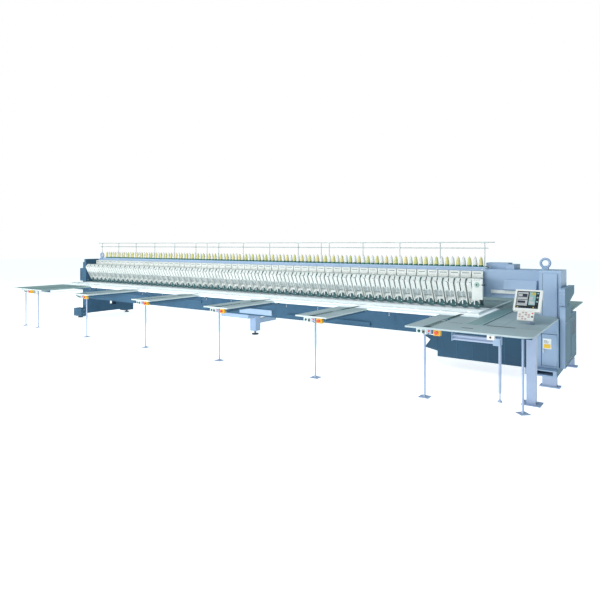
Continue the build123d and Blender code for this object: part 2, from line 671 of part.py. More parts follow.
def main():
    os.makedirs("parts", exist_ok=True)
    nodes = {
        "lower_beam": lower_beam(), "deep_section": deep_section(), "left_end_stand": left_end_stand(),
        "center_leg": center_leg(), "tower_base": tower_base(), "tower_frame": tower_frame(),
        "tower_upper": tower_upper(), "tower_covers": tower_covers(), "upper_beam": upper_beam(),
        "beam_covers": beam_covers(), "lifting_eyes": lifting_eyes(), "thread_shelf": thread_shelf(),
        "thread_stand": thread_stand(), "cone_pins": cone_pins(), "cones_yellow": row(cone(), CONE_XS),
        "cones_white": row(Pos(-PITCH / 2, 0, 0) * cone(), CONE_XS[:-1]), "head_arms": row(head_arm()),
        "needle_cases": head_cases(), "tension_panels": row(tension_panel()),
        "take_up_levers": row(take_up_lever()), "needle_bars": row(needle_bar()),
        "presser_feet": row(presser_foot()), "needle_plates": row(needle_plate()),
        "selector_dial": selector_dial(), "bed_table": bed_table(), "right_table": right_table(),
        "left_table": left_table(), "arm_tables": arm_tables(), "rear_table": rear_table(),
        "slide_cover": slide_cover(), "table_legs": table_legs(),
        "machine_feet": machine_feet(), "upper_shaft": upper_shaft(), "lower_shaft": lower_shaft(),
        "rotary_hooks": row(rotary_hook()), "shaft_bearings": shaft_bearings(), "main_motor": main_motor(),
        "motor_pulley": motor_pulley(), "drive_belts": drive_belts(), "y_drive_shaft": y_drive_shaft(),
        "y_idlers": y_idlers(), "y_carriages": y_carriages(), "sash_frame": sash_frame(),
        "switch_boxes": switch_boxes(), "estop_boxes": estop_boxes(), "panel_post": panel_post(),
        "control_panel": control_panel(), "cabinet_door": cabinet_door(),
    }
    for number, x in enumerate(STATION_XS, start=1):
        nodes[f"estop_button_{number}"] = estop_button(x)
        nodes[f"start_lever_{number}"] = start_lever(x)
    for name, shapes in nodes.items():
        save(name, shapes)


main()
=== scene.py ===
"""Looks for the multi-head embroidery machine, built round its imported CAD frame. Lengths are in metres.

Most pieces are drawn from the floor point under the right-hand head's needle: X to the right along the
row of heads, Y to the back, Z up. Shape moves them from there into the frame.
"""
import json
import math

import bmesh
import bpy
from mathutils import Matrix, Vector


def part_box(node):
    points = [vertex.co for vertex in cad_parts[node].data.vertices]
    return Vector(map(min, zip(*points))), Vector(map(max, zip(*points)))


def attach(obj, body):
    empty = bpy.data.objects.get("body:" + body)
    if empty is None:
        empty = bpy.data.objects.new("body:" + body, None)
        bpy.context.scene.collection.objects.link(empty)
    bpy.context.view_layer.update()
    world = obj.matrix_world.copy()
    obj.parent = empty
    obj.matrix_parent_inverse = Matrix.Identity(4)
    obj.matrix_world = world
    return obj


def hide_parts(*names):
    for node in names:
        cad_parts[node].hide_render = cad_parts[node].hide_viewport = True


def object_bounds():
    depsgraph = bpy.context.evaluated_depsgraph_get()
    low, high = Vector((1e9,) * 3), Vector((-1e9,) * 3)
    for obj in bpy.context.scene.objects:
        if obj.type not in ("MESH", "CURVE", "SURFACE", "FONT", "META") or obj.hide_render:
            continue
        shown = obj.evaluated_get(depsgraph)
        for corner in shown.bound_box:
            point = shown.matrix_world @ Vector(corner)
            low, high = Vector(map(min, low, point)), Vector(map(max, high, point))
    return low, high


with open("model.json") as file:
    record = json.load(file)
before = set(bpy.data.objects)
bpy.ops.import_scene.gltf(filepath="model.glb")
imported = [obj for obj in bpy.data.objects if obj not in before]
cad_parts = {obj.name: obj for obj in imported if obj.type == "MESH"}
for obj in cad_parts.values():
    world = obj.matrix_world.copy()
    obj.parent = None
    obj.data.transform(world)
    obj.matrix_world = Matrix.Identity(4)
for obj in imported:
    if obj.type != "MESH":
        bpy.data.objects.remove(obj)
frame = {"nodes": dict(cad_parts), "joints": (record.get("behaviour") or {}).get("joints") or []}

CAD_LOW, CAD_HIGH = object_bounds()
JOINTS = {joint["name"]: joint for joint in frame["joints"]}

HEADS = 56
BAR_R = 0.005
BARS_LOW, BARS_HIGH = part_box("needle_bars")
NEEDLE = Vector((BARS_HIGH.x - BAR_R, (BARS_LOW.y + BARS_HIGH.y) / 2, 0))
PITCH = (BARS_HIGH.x - BARS_LOW.x - 2 * BAR_R) / (HEADS - 1)
STATIONS = [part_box(f"estop_button_{i}") for i in range(1, 7)]
BUTTON_OFFSET = 0.13
STATION_XS = [(low.x + high.x) / 2 - BUTTON_OFFSET - NEEDLE.x for low, high in STATIONS]


# ---- Camera and light ----

CAMERA_FROM_NEEDLE = Vector((2.2185, -7.8760, 1.8470))
CAMERA_TURN = math.radians(34.8896)
CAMERA_LENS = 30.695
CAMERA_SHIFT = -0.0923

camera_data = bpy.data.cameras.new("camera")
camera_data.lens = CAMERA_LENS
camera_data.shift_y = CAMERA_SHIFT
camera_data.clip_end = 200
camera = bpy.data.objects.new("camera", camera_data)
camera.location = NEEDLE + CAMERA_FROM_NEEDLE
camera.rotation_euler = (math.radians(90), 0, CAMERA_TURN)
bpy.context.scene.collection.objects.link(camera)
bpy.context.scene.camera = camera
bpy.context.scene.view_settings.view_transform = "Standard"


def area_light(name, place, target, size, power, colour):
    data = bpy.data.lights.new(name, "AREA")
    data.shape = "RECTANGLE"
    data.size, data.size_y = size
    data.energy = power
    data.color = colour
    light = bpy.data.objects.new(name, data)
    light.location = place
    light.rotation_euler = (Vector(target) - Vector(place)).to_track_quat("-Z", "Y").to_euler()
    bpy.context.scene.collection.objects.link(light)


area_light("key", (-5.0, -13.0, 2.6), (-1, 0, 0.9), (16, 3), 1010, (1.0, 0.985, 0.985))
area_light("top", (-1.0, -8.0, 8.5), (0, 0, 0.8), (16, 5), 700, (1.0, 0.985, 0.98))
area_light("back", (0.0, 10.0, 6.0), (0, 0, 0.9), (14, 4), 160, (0.90, 0.95, 1.0))

world = bpy.data.worlds.new("world")
world.use_nodes = True
world_tree = world.node_tree
ambient = world_tree.nodes["Background"]
ambient.inputs["Color"].default_value = (0.60, 0.90, 1.0, 1)
ambient.inputs["Strength"].default_value = 0.36
backdrop = world_tree.nodes.new("ShaderNodeBackground")
backdrop.inputs["Color"].default_value = (1.0, 1.0, 1.0, 1)
backdrop.inputs["Strength"].default_value = 1.0
seen = world_tree.nodes.new("ShaderNodeLightPath")
choice = world_tree.nodes.new("ShaderNodeMixShader")
world_tree.links.new(seen.outputs["Is Camera Ray"], choice.inputs[0])
world_tree.links.new(ambient.outputs["Background"], choice.inputs[1])
world_tree.links.new(backdrop.outputs["Background"], choice.inputs[2])
world_tree.links.new(choice.outputs["Shader"], world_tree.nodes["World Output"].inputs["Surface"])
bpy.context.scene.world = world


# ---- Materials ----

def surface(name, low, high, scale=5.0, rough=(0.35, 0.5), grain=300.0, depth=0.1, stretch=(1, 1, 1),
            metallic=0.0, coat=0.0, sheen=0.0, wear=None, wear_amount=0.25):
    """Finish with two tones mixed by broad noise, a fine grain in bump and gloss, and patchy wear."""
    mat = bpy.data.materials.new(name)
    mat.use_nodes = True
    tree = mat.node_tree
    shader = tree.nodes["Principled BSDF"]
    shader.inputs["Metallic"].default_value = metallic
    shader.inputs["Coat Weight"].default_value = coat
    shader.inputs["Sheen Weight"].default_value = sheen
    coords = tree.nodes.new("ShaderNodeTexCoord")
    mapping = tree.nodes.new("ShaderNodeMapping")
    mapping.inputs["Scale"].default_value = stretch
    tree.links.new(coords.outputs["Object"], mapping.inputs["Vector"])

    def noise(density, detail):
        node = tree.nodes.new("ShaderNodeTexNoise")
        node.inputs["Scale"].default_value = density
        node.inputs["Detail"].default_value = detail
        tree.links.new(mapping.outputs["Vector"], node.inputs["Vector"])
        return node.outputs["Fac"]

    def ramp(source, start, end, first, last):
        node = tree.nodes.new("ShaderNodeValToRGB")
        node.color_ramp.elements[0].position = start
        node.color_ramp.elements[1].position = end
        node.color_ramp.elements[0].color = (*first, 1)
        node.color_ramp.elements[1].color = (*last, 1)
        tree.links.new(source, node.inputs["Fac"])
        return node.outputs["Color"]

    colour = ramp(noise(scale, 4), 0.32, 0.68, low, high)
    if wear:
        patch = ramp(noise(scale * 4.3, 9), 0.56, 0.74, (0, 0, 0), (wear_amount,) * 3)
        mix = tree.nodes.new("ShaderNodeMix")
        mix.data_type = "RGBA"
        tree.links.new(patch, mix.inputs["Factor"])
        tree.links.new(colour, mix.inputs["A"])
        mix.inputs["B"].default_value = (*wear, 1)
        colour = mix.outputs["Result"]
    tree.links.new(colour, shader.inputs["Base Color"])
    fine = noise(grain, 3)
    gloss = tree.nodes.new("ShaderNodeMapRange")
    gloss.inputs["To Min"].default_value, gloss.inputs["To Max"].default_value = rough
    tree.links.new(fine, gloss.inputs["Value"])
    tree.links.new(gloss.outputs["Result"], shader.inputs["Roughness"])
    bump = tree.nodes.new("ShaderNodeBump")
    bump.inputs["Strength"].default_value = depth
    bump.inputs["Distance"].default_value = 0.001
    tree.links.new(fine, bump.inputs["Height"])
    tree.links.new(bump.outputs["Normal"], shader.inputs["Normal"])
    return mat


def wound_thread(name, colours, winding=420.0):
    """Thread wound on a cone: crossed fine bands, and a tone of its own for each cone along the row."""
    mat = surface(name, colours[0], colours[1], scale=3.1, rough=(0.5, 0.75), grain=900, depth=0.2,
                  stretch=(1.9, 0.2, 0.2), sheen=0.35)
    tree = mat.node_tree
    shader = tree.nodes["Principled BSDF"]
    coords = tree.nodes.new("ShaderNodeTexCoord")
    bands = tree.nodes.new("ShaderNodeTexWave")
    bands.bands_direction = "Z"
    bands.inputs["Scale"].default_value = winding
    bands.inputs["Distortion"].default_value = 1.5
    bands.inputs["Detail Scale"].default_value = 30
    tree.links.new(coords.outputs["Object"], bands.inputs["Vector"])
    bump = tree.nodes.new("ShaderNodeBump")
    bump.inputs["Strength"].default_value = 0.6
    bump.inputs["Distance"].default_value = 0.0006
    tree.links.new(bands.outputs["Fac"], bump.inputs["Height"])
    tree.links.new(shader.inputs["Normal"].links[0].from_socket, bump.inputs["Normal"])
    tree.links.new(bump.outputs["Normal"], shader.inputs["Normal"])
    shade = tree.nodes.new("ShaderNodeMix")
    shade.data_type = "RGBA"
    shade.blend_type = "MULTIPLY"
    shade.inputs["Factor"].default_value = 0.35
    tree.links.new(shader.inputs["Base Color"].links[0].from_socket, shade.inputs["A"])
    tree.links.new(bands.outputs["Color"], shade.inputs["B"])
    tree.links.new(shade.outputs["Result"], shader.inputs["Base Color"])
    return mat


def matte_with_painted_glow(mat, glow):
    """Takes the shine off a finish and adds a faint cool emission: painted light, brightening it like a
    brightly lit white sheet.
    """
    shader = mat.node_tree.nodes["Principled BSDF"]
    shader.inputs["Specular IOR Level"].default_value = 0.15
    shader.inputs["Emission Color"].default_value = (0.86, 0.95, 1.0, 1)
    shader.inputs["Emission Strength"].default_value = glow
    return mat


def screen_light(name, first, last, strength, scale=18.0):
    """A lit part of the screen, with a soft change of tone over it."""
    mat = surface(name, [c * 0.4 for c in first], [c * 0.4 for c in last], scale=scale, rough=(0.12, 0.2))
    tree = mat.node_tree
    shader = tree.nodes["Principled BSDF"]
    tree.links.new(shader.inputs["Base Color"].links[0].from_socket, shader.inputs["Emission Color"])
    shader.inputs["Emission Strength"].default_value = strength
    return mat


BLUE = surface("machine_blue", (0.31, 0.43, 0.60), (0.345, 0.465, 0.64), scale=2.2, rough=(0.38, 0.55),
               grain=420, depth=0.12, coat=0.12, wear=(0.27, 0.38, 0.54))
# Darker copy of the frame blue for the lower beam, the left stand and parts under the tables: painted shade,
# where the tables and beams shade them.
BLUE_PAINTED_SHADE = surface("painted_shade_blue", (0.022, 0.085, 0.155), (0.035, 0.11, 0.195), scale=1.6, rough=(0.6, 0.8),
                    grain=420, depth=0.12, wear=(0.018, 0.065, 0.12))
# A still darker copy of the frame blue for the deep section: painted deep shade.
BLUE_PAINTED_DEEP_SHADE = surface("painted_deep_shade_blue", (0.009, 0.052, 0.10), (0.015, 0.07, 0.13), scale=1.6, rough=(0.6, 0.8),
                    grain=420, depth=0.12, wear=(0.007, 0.04, 0.08))
# Darker teal blue for the tower's right-facing faces: painted shade, for the side turned away from the key
# light.
BLUE_PAINTED_SHADE_SIDE = surface("right_side_painted_shade_blue", (0.055, 0.155, 0.225), (0.075, 0.185, 0.26), scale=2.0,
                    rough=(0.5, 0.65), grain=420, depth=0.12, wear=(0.045, 0.13, 0.19))
BLUE_PALE = surface("leg_blue_paint", (0.35, 0.43, 0.60), (0.40, 0.48, 0.64), scale=4, rough=(0.32, 0.5),
                    grain=420, depth=0.1, coat=0.15, wear=(0.30, 0.37, 0.53))
ENAMEL = surface("head_enamel", (0.70, 0.725, 0.69), (0.80, 0.815, 0.785), scale=3.5, rough=(0.25, 0.42),
                 grain=500, depth=0.06, coat=0.25, wear=(0.58, 0.62, 0.60), wear_amount=0.35)
ENAMEL_GREY = surface("head_inner_grey", (0.54, 0.60, 0.60), (0.70, 0.74, 0.73), scale=30, rough=(0.35, 0.55),
                      grain=500, depth=0.1)
# The bed's faint emission is painted light: it brightens the bed where the heads shade it.
BED = matte_with_painted_glow(surface("bed_enamel_painted_glow", (0.90, 0.95, 0.95), (0.95, 0.98, 0.98), scale=1.4, rough=(0.6, 0.75),
                        grain=350, depth=0.05, wear=(0.84, 0.91, 0.91)), glow=0.30)
LAMINATE = surface("table_laminate", (0.40, 0.485, 0.515), (0.47, 0.555, 0.58), scale=2.4, rough=(0.42, 0.62),
                   grain=900, depth=0.14, wear=(0.34, 0.425, 0.455))
LAMINATE_FAR = surface("table_laminate_dull", (0.27, 0.38, 0.375), (0.33, 0.44, 0.43), scale=2.4,
                       rough=(0.5, 0.7), grain=900, depth=0.14, wear=(0.23, 0.33, 0.325))
TRIM_GREEN = surface("cover_green_grey", (0.19, 0.34, 0.35), (0.25, 0.40, 0.405), scale=3, rough=(0.35, 0.5),
                     grain=600, depth=0.1, wear=(0.15, 0.28, 0.29))
STEEL = surface("ground_steel", (0.46, 0.49, 0.50), (0.60, 0.63, 0.64), scale=12, rough=(0.24, 0.42),
                grain=260, depth=0.1, stretch=(0.25, 3, 3), metallic=0.9, wear=(0.34, 0.37, 0.39))
DULL_STEEL = surface("stand_steel", (0.36, 0.44, 0.44), (0.48, 0.56, 0.56), scale=10, rough=(0.4, 0.6),
                     grain=260, depth=0.1, metallic=0.45)
CHROME = surface("bright_chrome", (0.74, 0.76, 0.78), (0.84, 0.86, 0.87), scale=9, rough=(0.08, 0.2),
                 grain=200, depth=0.03, metallic=1.0)
ALUMINIUM = surface("anodised_aluminium", (0.72, 0.76, 0.78), (0.84, 0.87, 0.88), scale=8, rough=(0.28, 0.42),
                    grain=240, depth=0.08, stretch=(0.2, 2.5, 2.5), metallic=0.35)
CASTING = surface("dark_casting", (0.007, 0.055, 0.06), (0.022, 0.095, 0.10), scale=24, rough=(0.4, 0.62),
                  grain=240, depth=0.35, wear=(0.04, 0.14, 0.145))
CASTING_PALE = surface("casting_teal", (0.022, 0.10, 0.11), (0.05, 0.15, 0.165), scale=30, rough=(0.4, 0.6),
                       grain=240, depth=0.3)
RUBBER = surface("rubber_black", (0.014, 0.018, 0.02), (0.03, 0.036, 0.04), scale=40, rough=(0.65, 0.85),
                 grain=700, depth=0.3)
EDGE_BAND = surface("edge_band", (0.56, 0.64, 0.63), (0.62, 0.70, 0.69), scale=5, rough=(0.35, 0.5),
                    grain=800, depth=0.06)
SLOT_DARK = surface("slot_cover", (0.012, 0.045, 0.05), (0.025, 0.07, 0.075), scale=16, rough=(0.5, 0.7),
                    grain=500, depth=0.1)
GREEN_PALE = surface("dial_ring_green", (0.40, 0.56, 0.50), (0.50, 0.66, 0.58), scale=18, rough=(0.35, 0.5),
                     grain=500, depth=0.08)
GREEN = surface("disc_green", (0.018, 0.12, 0.085), (0.035, 0.19, 0.135), scale=12, rough=(0.4, 0.55),
                grain=500, depth=0.1)
WHITE_PLASTIC = surface("panel_plastic", (0.80, 0.79, 0.755), (0.86, 0.85, 0.82), scale=6, rough=(0.42, 0.58),
                        grain=1400, depth=0.18, wear=(0.72, 0.71, 0.69))
DARK_PLASTIC = surface("dark_moulding", (0.018, 0.03, 0.032), (0.04, 0.055, 0.058), scale=20,
                       rough=(0.4, 0.6), grain=900, depth=0.2)
YELLOW_PLASTIC = surface("estop_yellow_moulding", (0.80, 0.40, 0.02), (0.88, 0.50, 0.03), scale=14,
                         rough=(0.28, 0.42), grain=800, depth=0.08, coat=0.3)
RED_PLASTIC = surface("estop_red_moulding", (0.60, 0.025, 0.012), (0.72, 0.05, 0.02), scale=22,
                      rough=(0.22, 0.36), grain=800, depth=0.06, coat=0.35)
PINK_PLASTIC = surface("key_cap", (0.50, 0.36, 0.33), (0.60, 0.44, 0.41), scale=30, rough=(0.45, 0.6),
                       grain=1200, depth=0.15)
LABEL_WHITE = surface("label_film", (0.82, 0.84, 0.82), (0.90, 0.91, 0.90), scale=16, rough=(0.3, 0.4),
                      grain=700, depth=0.04)
LABEL_YELLOW = surface("label_yellow", (0.86, 0.52, 0.03), (0.93, 0.60, 0.06), scale=20, rough=(0.3, 0.4),
                       grain=700, depth=0.04)
GLASS = surface("screen_glass", (0.010, 0.012, 0.014), (0.022, 0.026, 0.03), scale=12, rough=(0.05, 0.12),
                grain=60, depth=0.01, coat=0.6)
YARN_YELLOW = wound_thread("yarn_yellow", ((0.66, 0.70, 0.22), (0.95, 0.77, 0.36)))
YARN_WHITE = wound_thread("yarn_white", ((0.84, 0.88, 0.88), (0.93, 0.90, 0.91)))
LIT_GREY = screen_light("screen_grey", (0.72, 0.77, 0.80), (0.88, 0.90, 0.92), 0.60)
LIT_TEAL = screen_light("screen_teal", (0.36, 0.72, 0.72), (0.60, 0.86, 0.84), 0.55)
LIT_YELLOW = screen_light("screen_yellow", (0.80, 0.68, 0.10), (0.88, 0.78, 0.22), 0.5)
LIT_DARK = screen_light("screen_dark", (0.05, 0.06, 0.09), (0.10, 0.11, 0.15), 0.3)


# ---- Drawing ----

class Shape:
    """Gathers prisms and turned solids into one piece."""

    def __init__(self, origin=NEEDLE):
        self.mesh = bmesh.new()
        self.matrix = Matrix.Translation(origin)

    def _close(self, rings, mat, capped=True):
        count = len(rings[0])
        faces = []
        if capped:
            faces += [self.mesh.faces.new(rings[0]), self.mesh.faces.new(rings[-1])]
        for one, two in zip(rings, rings[1:]):
            for i in range(count):
                j = (i + 1) % count
                faces.append(self.mesh.faces.new((one[i], one[j], two[j], two[i])))
        bmesh.ops.recalc_face_normals(self.mesh, faces=faces)
        for face in faces:
            face.material_index = mat

    def prism(self, outline, axis, start, end, mat=0):
        """An outline across one axis, run from start to end along it."""
        def place(p, t):
            return {"X": (t, p[0], p[1]), "Y": (p[0], t, p[1]), "Z": (p[0], p[1], t)}[axis]
        rings = []
        for t in (start, end):
            rings.append([self.mesh.verts.new(self.matrix @ Vector(place(p, t))) for p in outline])
        self._close(rings, mat)

    def box(self, x, y, z, mat=0):
        self.prism([(x[0], y[0]), (x[1], y[0]), (x[1], y[1]), (x[0], y[1])], "Z", z[0], z[1], mat)

    def turned(self, start, direction, profile, mat=0, sides=16, ring=False):
        """A profile of (distance along, radius) turned round a line. A ring's profile closes on itself."""
        direction = Vector(direction).normalized()
        side = direction.orthogonal().normalized()
        other = direction.cross(side)
        angles = [2 * math.pi * k / sides for k in range(sides)]
        spokes = [side * math.cos(a) + other * math.sin(a) for a in angles]
        rings = []
        for along, radius in profile:
            centre = Vector(start) + direction * along
            rings.append([self.mesh.verts.new(self.matrix @ (centre + radius * spoke)) for spoke in spokes])
        self._close(rings + rings[:1] if ring else rings, mat, not ring)

    def stud(self, place, direction, body, top, mat=0, sides=12):
        """A screw head, knob or rivet on a face: body and top are (radius, height above the face)."""
        (radius, height), (top_radius, top_height) = body, top
        profile = [(-0.001, radius), (height, radius), (top_height, top_radius)]
        self.turned(place, direction, profile, mat, sides)

    def rod(self, start, end, radius, mat=0, sides=12):
        along = Vector(end) - Vector(start)
        length = along.length
        soft = min(radius * 0.25, length * 0.2)
        profile = [(0, radius - soft), (soft, radius), (length - soft, radius), (length, radius - soft)]
        self.turned(start, along, profile, mat, sides)

    def pipe(self, points, radius, mat=0, sides=10):
        """A round bar bent through points, smoothly."""
        curve = bpy.data.curves.new("pipe", "CURVE")
        curve.dimensions = "3D"
        curve.bevel_depth = radius
        curve.bevel_resolution = sides // 4
        curve.use_fill_caps = True
        spline = curve.splines.new("NURBS")
        spline.points.add(len(points) - 1)
        for point, place in zip(spline.points, points):
            point.co = (*(self.matrix @ Vector(place)), 1)
        spline.order_u = 3
        spline.use_endpoint_u = True
        drawn = bpy.data.objects.new("pipe", curve)
        mesh = bpy.data.meshes.new_from_object(drawn)
        before = len(self.mesh.faces)
        self.mesh.from_mesh(mesh)
        self.mesh.faces.ensure_lookup_table()
        for face in self.mesh.faces[before:]:
            face.material_index = mat
        bpy.data.objects.remove(drawn)
        bpy.data.meshes.remove(mesh)
        bpy.data.curves.remove(curve)

    def piece(self, name, body, mats, slot, replaces=(), soft=0.0015, copies=1, step=None):
        mesh = bpy.data.meshes.new(name)
        self.mesh.to_mesh(mesh)
        self.mesh.free()
        for mat in mats:
            mesh.materials.append(mat)
        mesh.shade_smooth()
        mesh.set_sharp_from_angle(angle=math.radians(32))
        made = bpy.data.objects.new(name, mesh)
        bpy.context.scene.collection.objects.link(made)
        if soft:
            bevel = made.modifiers.new("soft_edges", "BEVEL")
            bevel.width = soft
            bevel.segments = 2
            bevel.limit_method = "ANGLE"
            bevel.angle_limit = math.radians(40)
            bevel.harden_normals = True
        if copies > 1:
            row = made.modifiers.new("row", "ARRAY")
            row.use_relative_offset = False
            row.use_constant_offset = True
            row.constant_offset_displace = (-(step or PITCH), 0, 0)
            row.count = copies
        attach(made, body)
        if replaces:
            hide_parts(*replaces)
        return made


def arc(centre, radius, start, end, steps):
    """Points of an arc, from one angle in degrees to another."""
    turns = [math.radians(start + (end - start) * k / steps) for k in range(steps + 1)]
    return [(centre[0] + radius * math.cos(a), centre[1] + radius * math.sin(a)) for a in turns]


def around(middle, half):
    """The span that reaches half its width to each side of a middle."""
    return middle - half, middle + half


def both(low, high):
    """The same span on the left and the right of the middle."""
    return (-high, -low), (low, high)


# ---- Finishes of the CAD nodes ----

NODE_FINISH = {
    BLUE: ["tower_base", "tower_upper", "tower_covers", "upper_beam", "lifting_eyes", "thread_shelf",
           "cabinet_door", "tower_frame", "beam_covers", "center_leg"],
    # Painted shade: the lower beam and left stand take a darker copy of the frame blue, and the deep section
    # a darker one still.
    BLUE_PAINTED_SHADE: ["lower_beam", "left_end_stand"],
    BLUE_PAINTED_DEEP_SHADE: ["deep_section"],
    BLUE_PALE: ["table_legs", "panel_post"],
    BED: ["bed_table"],
    LAMINATE: ["right_table", "arm_tables"],
    LAMINATE_FAR: ["left_table", "rear_table"],
    TRIM_GREEN: ["slide_cover"],
    CASTING_PALE: ["y_carriages"],
    STEEL: ["needle_bars", "presser_feet", "needle_plates", "upper_shaft", "lower_shaft", "motor_pulley",
            "y_drive_shaft"],
    DULL_STEEL: ["thread_stand"],
    CHROME: ["take_up_levers", "rotary_hooks"],
    ALUMINIUM: ["y_idlers", "sash_frame"],
    CASTING: ["head_arms", "shaft_bearings"],
    GREEN_PALE: ["selector_dial"],
    RUBBER: ["drive_belts"],
    GREEN: ["cone_pins"],
    DARK_PLASTIC: ["main_motor", "machine_feet"] + [f"start_lever_{i}" for i in range(1, 7)],
    RED_PLASTIC: [f"estop_button_{i}" for i in range(1, 7)],
}
SOFT_NODES = ["lower_beam", "deep_section", "left_end_stand", "center_leg", "tower_base", "tower_upper",
              "tower_covers", "upper_beam", "beam_covers", "tower_frame", "table_legs", "right_table",
              "left_table", "arm_tables", "slide_cover", "sash_frame", "cabinet_door",
              "thread_shelf", "panel_post"]

for finish, names in NODE_FINISH.items():
    for name in names:
        node = frame["nodes"][name]
        node.data.materials.clear()
        node.data.materials.append(finish)


def second_finish(name, finish, chosen):
    """Gives a node's chosen faces a finish of their own; chosen looks at a face's normal and centre."""
    node = frame["nodes"][name]
    node.data.materials.append(finish)
    turn = node.matrix_world.to_3x3()
    for face in node.data.polygons:
        face.material_index = int(chosen(turn @ face.normal, node.matrix_world @ face.center))


TOWER_LEFT_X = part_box("tower_base")[0].x
# The right-facing faces of the tower take the darker blue, as painted shade.
for name in ("tower_base", "tower_covers", "tower_frame"):
    second_finish(name, BLUE_PAINTED_SHADE_SIDE, lambda normal, centre: normal.x > 0.8)
second_finish("machine_feet", BLUE_PALE, lambda normal, centre: centre.x > TOWER_LEFT_X)

for name in SOFT_NODES:
    node = frame["nodes"][name]
    weld = node.modifiers.new("join_edges", "WELD")
    weld.merge_threshold = 0.00005
    bevel = node.modifiers.new("soft_edges", "BEVEL")
    bevel.width = 0.002
    bevel.segments = 2
    bevel.limit_method = "ANGLE"
    bevel.angle_limit = math.radians(50)
    bevel.harden_normals = True


# ---- Heads ----

RIB_X = (0.064, 0.076)
NOSE = [(-0.258, 1.350), (-0.268, 1.347), (-0.274, 1.340), (-0.314, 1.291), (-0.3205, 1.281), (-0.319, 1.273)]
RIB_OUTLINE = [(0.020, 1.425), (-0.004, 1.425), (-0.004, 1.350)] + NOSE
RIB_OUTLINE += [(-0.162, 0.966), (-0.152, 0.958), (0.020, 0.958)]


def head_casing():
    """Case of one head: ribs, flat-topped nose with the take-up slot, inner face and lower block."""
    shape = Shape()
    for x in both(*RIB_X):
        shape.prism(RIB_OUTLINE, "X", *x, 0)
    top = [(-0.010, 1.350), (-0.258, 1.350), (-0.262, 1.343), (-0.010, 1.343)]
    nose = NOSE + [(-0.2555, 1.150), (-0.2490, 1.153), (-0.313, 1.280), (-0.262, 1.343)]
    face = [(-0.236, 1.150), (-0.230, 1.153), (-0.189, 1.073), (-0.195, 1.070)]
    shape.prism(top, "X", -RIB_X[0], RIB_X[0], 0)
    for x in both(0.008, RIB_X[0]):
        shape.prism(nose, "X", *x, 0)
    shape.prism(face, "X", -RIB_X[0], RIB_X[0], 1)
    shape.box((-RIB_X[0], RIB_X[0]), (-0.252, -0.226), (1.146, 1.154), 0)
    for x in (-0.052, -0.034, -0.016, 0.016, 0.034, 0.052):
        shape.rod((x, -0.240, 1.150), (x, -0.190, 1.050), 0.0035, 2)
        shape.stud((x, -0.240, 1.350), (0, 0, 1), (0.006, 0.006), (0.004, 0.008), 4, 10)
    for side in (-1, 1):
        shape.turned((side * 0.038, -0.258, 1.156), (0, -1, -0.5),
                     [(-0.002, 0.009), (0.006, 0.009), (0.008, 0.006)], 2, 14)
        shape.stud((side * 0.076, -0.262, 1.285), (side, 0, 0), (0.010, 0.002), (0.007, 0.003), 2, 14)
        shape.stud((side * 0.076, -0.120, 1.310), (side, 0, 0), (0.008, 0.002), (0.006, 0.003), 2)
    shape.box((-0.030, -0.016), (-0.3175, -0.3100), (1.276, 1.298), 3)
    shape.box((-RIB_X[0], RIB_X[0]), (-0.160, 0.018), (0.962, 1.060), 0)
    shape.box((-0.058, 0.014), (-0.1615, -0.159), (1.036, 1.040), 1)
    for x, z in ((-0.040, 1.012), (0.044, 1.036)):
        shape.stud((x, -0.160, z), (0, -1, 0), (0.007, 0.003), (0.005, 0.004), 2, 14)
    shape.box((0.016, 0.034), (-0.1645, -0.159), (0.966, 1.004), 3)
    # Dark block in the gap to the next head's nose: painted shade, standing in for the shadow between the
    # noses.
    shape.box((0.0785, 0.0965), (-0.296, -0.014), (1.262, 1.338), 3)
    return shape


PANEL_Y = -0.018


def tension_plate():
    """Upright plate with a thread slot, a row of guide studs and a row of tension knobs."""
    shape = Shape()
    outline = [(0.030, 1.449), (0.030, 1.430), (-0.008, 1.430), (-0.008, 1.352), (PANEL_Y, 1.352),
               (PANEL_Y, 1.443), (-0.013, 1.449)]
    shape.prism(outline, "X", -0.081, 0.081, 0)
    shape.box((-0.054, 0.054), (PANEL_Y - 0.0012, PANEL_Y + 0.001), (1.4125, 1.4205), 4)
    shape.box((-0.066, 0.066), (PANEL_Y - 0.0010, PANEL_Y + 0.001), (1.3985, 1.4000), 1)
    for k in range(6):
        x = -0.0625 + 0.025 * k
        shape.stud((x, PANEL_Y, 1.4345), (0, -1, 0), (0.004, 0.005), (0.003, 0.006), 2, 10)
    for k in range(5):
        x = -0.060 + 0.030 * k
        shape.turned((x, PANEL_Y, 1.374), (0, -1, 0),
                     [(-0.001, 0.010), (0.002, 0.010), (0.004, 0.006), (0.009, 0.007), (0.012, 0.005)], 3, 14)
    return shape


